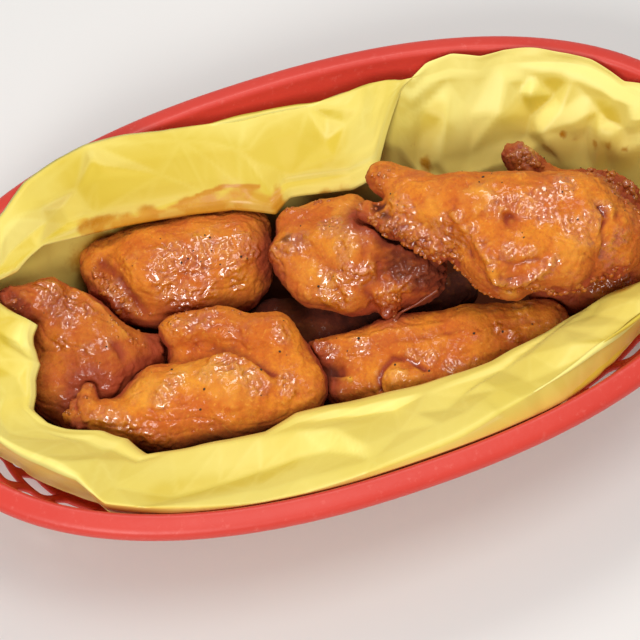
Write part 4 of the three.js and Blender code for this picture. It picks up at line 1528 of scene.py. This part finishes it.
def makePaperPiece(material):
    mesh, column, row = blankSheet()
    bearings = evenBearings(np.arange(paper["columns"]) / paper["columns"])
    degrees = (np.degrees(bearings) + 180) % 360 - 180
    insets, heights, runs = drapeSheet(bearings, degrees)
    dents, creases = creaseSheet(degrees, heights, runs)
    print("creased the paper")

    x, y = ovalPoints(bearings[column], insets[column, row])
    writePoints(mesh, np.stack([x, y, heights[column, row]], axis=1))
    smoothNormals = readNormals(mesh)
    across = np.gradient(insets, axis=1), np.gradient(heights, axis=1)
    size = np.maximum(np.hypot(*across), 1e-6)
    dents *= np.clip(-4 * across[0] / size, -1, 1)
    insets += dents * across[1] / size
    heights -= dents * across[0] / size
    x, y = ovalPoints(bearings[column], insets[column, row])
    points = smoothed(np.stack([x, y, heights[column, row]], axis=1), readEdges(mesh), 1, 0.2)
    points = insideWall(points, paper["wallGap"], paper["lowest"])
    points[row == 0, 1] = 0
    near = restOnWings(points)
    writePoints(mesh, points)

    flat = np.stack([column / paper["columns"] * paper["planWidth"], runs[column, row], row * 0], axis=1)
    # painted light: facets tilted towards the painted light's direction are painted paler, and some bearings
    # paler still; creases are a little paler
    light = 1.3 * ((readNormals(mesh) - smoothNormals) @ paper["paintedLightFrom"])
    light += 0.1 * creases[column, row] + valueAt(paper["pale"], degrees[column])
    addPaint(mesh, "stainAndShading", stainAndShadeSheet(points, flat, near, light))
    finishPiece("paper_sheet", thickenSheet(mesh), material, ["liner"])


makePaperPiece(makePaper())

view = {
    "target": (-9.5, -13.6, 46),
    "turn": -21.27,  # degrees round the basket from its near side
    "elevation": 58,
    "distance": 800,
    "lens": 170.1,
}


def placeCamera():
    turn, rise = math.radians(view["turn"]), math.radians(view["elevation"])
    flat = view["distance"] * math.cos(rise)
    target = Vector(view["target"])
    height = view["distance"] * math.sin(rise)
    place = target + Vector((flat * math.sin(turn), -flat * math.cos(turn), height))
    data = bpy.data.cameras.new("camera")
    data.lens = view["lens"]
    data.sensor_width = 36
    data.clip_start = 0.01
    camera = bpy.data.objects.new("camera", data)
    camera.location = place * mm
    camera.rotation_euler = (target - place).to_track_quat("-Z", "Y").to_euler()
    bpy.context.scene.collection.objects.link(camera)
    bpy.context.scene.camera = camera


lights = [
    {"name": "key", "place": (0.1, 0.36, 0.66), "size": 0.22, "power": 1.65, "colour": (1.0, 0.97, 0.93)},
    {"name": "fill", "place": (-0.51, -0.69, 0.78), "size": 0.33, "power": 6.7, "colour": (1.0, 0.98, 0.96)},
    {"name": "overhead", "place": (0.0, -0.12, 0.8), "size": 0.3, "power": 1.45, "colour": (1.0, 0.98, 0.96)},
]


studio = {
    "aim": (0, 0, 0.03),
    "sky": (0.95, 0.97, 1.0, 1),
    "skyStrength": 0.38,
    "floor": (0.78, 0.77, 0.75, 1),
    "floorSize": 4,
    "floorDrop": 0.0005,  # below the basket's underside
}


def placeLights():
    for light in lights:
        data = bpy.data.lights.new(light["name"], "AREA")
        data.shape = "SQUARE"
        data.size = light["size"]
        data.energy = light["power"]
        data.color = light["colour"]
        lamp = bpy.data.objects.new(light["name"], data)
        lamp.location = light["place"]
        ray = Vector(studio["aim"]) - Vector(light["place"])
        lamp.rotation_euler = ray.to_track_quat("-Z", "Y").to_euler()
        bpy.context.scene.collection.objects.link(lamp)
    world = bpy.data.worlds.new("studio")
    world.use_nodes = True
    background = world.node_tree.nodes["Background"]
    background.inputs["Color"].default_value = studio["sky"]
    background.inputs["Strength"].default_value = studio["skyStrength"]
    bpy.context.scene.world = world


def makeFloor():
    shader = Shader("pale_floor", Base_Color=studio["floor"], Roughness=0.7)
    bm = bmesh.new()
    bmesh.ops.create_grid(bm, x_segments=1, y_segments=1, size=studio["floorSize"])
    mesh = meshFrom(bm, "floor")
    mesh.materials.append(shader.material)
    floor = newObject("floor", mesh)
    floor.location.z = -studio["floorDrop"]


placeCamera()
placeLights()
makeFloor()
print("placed the camera, the lights and the floor")
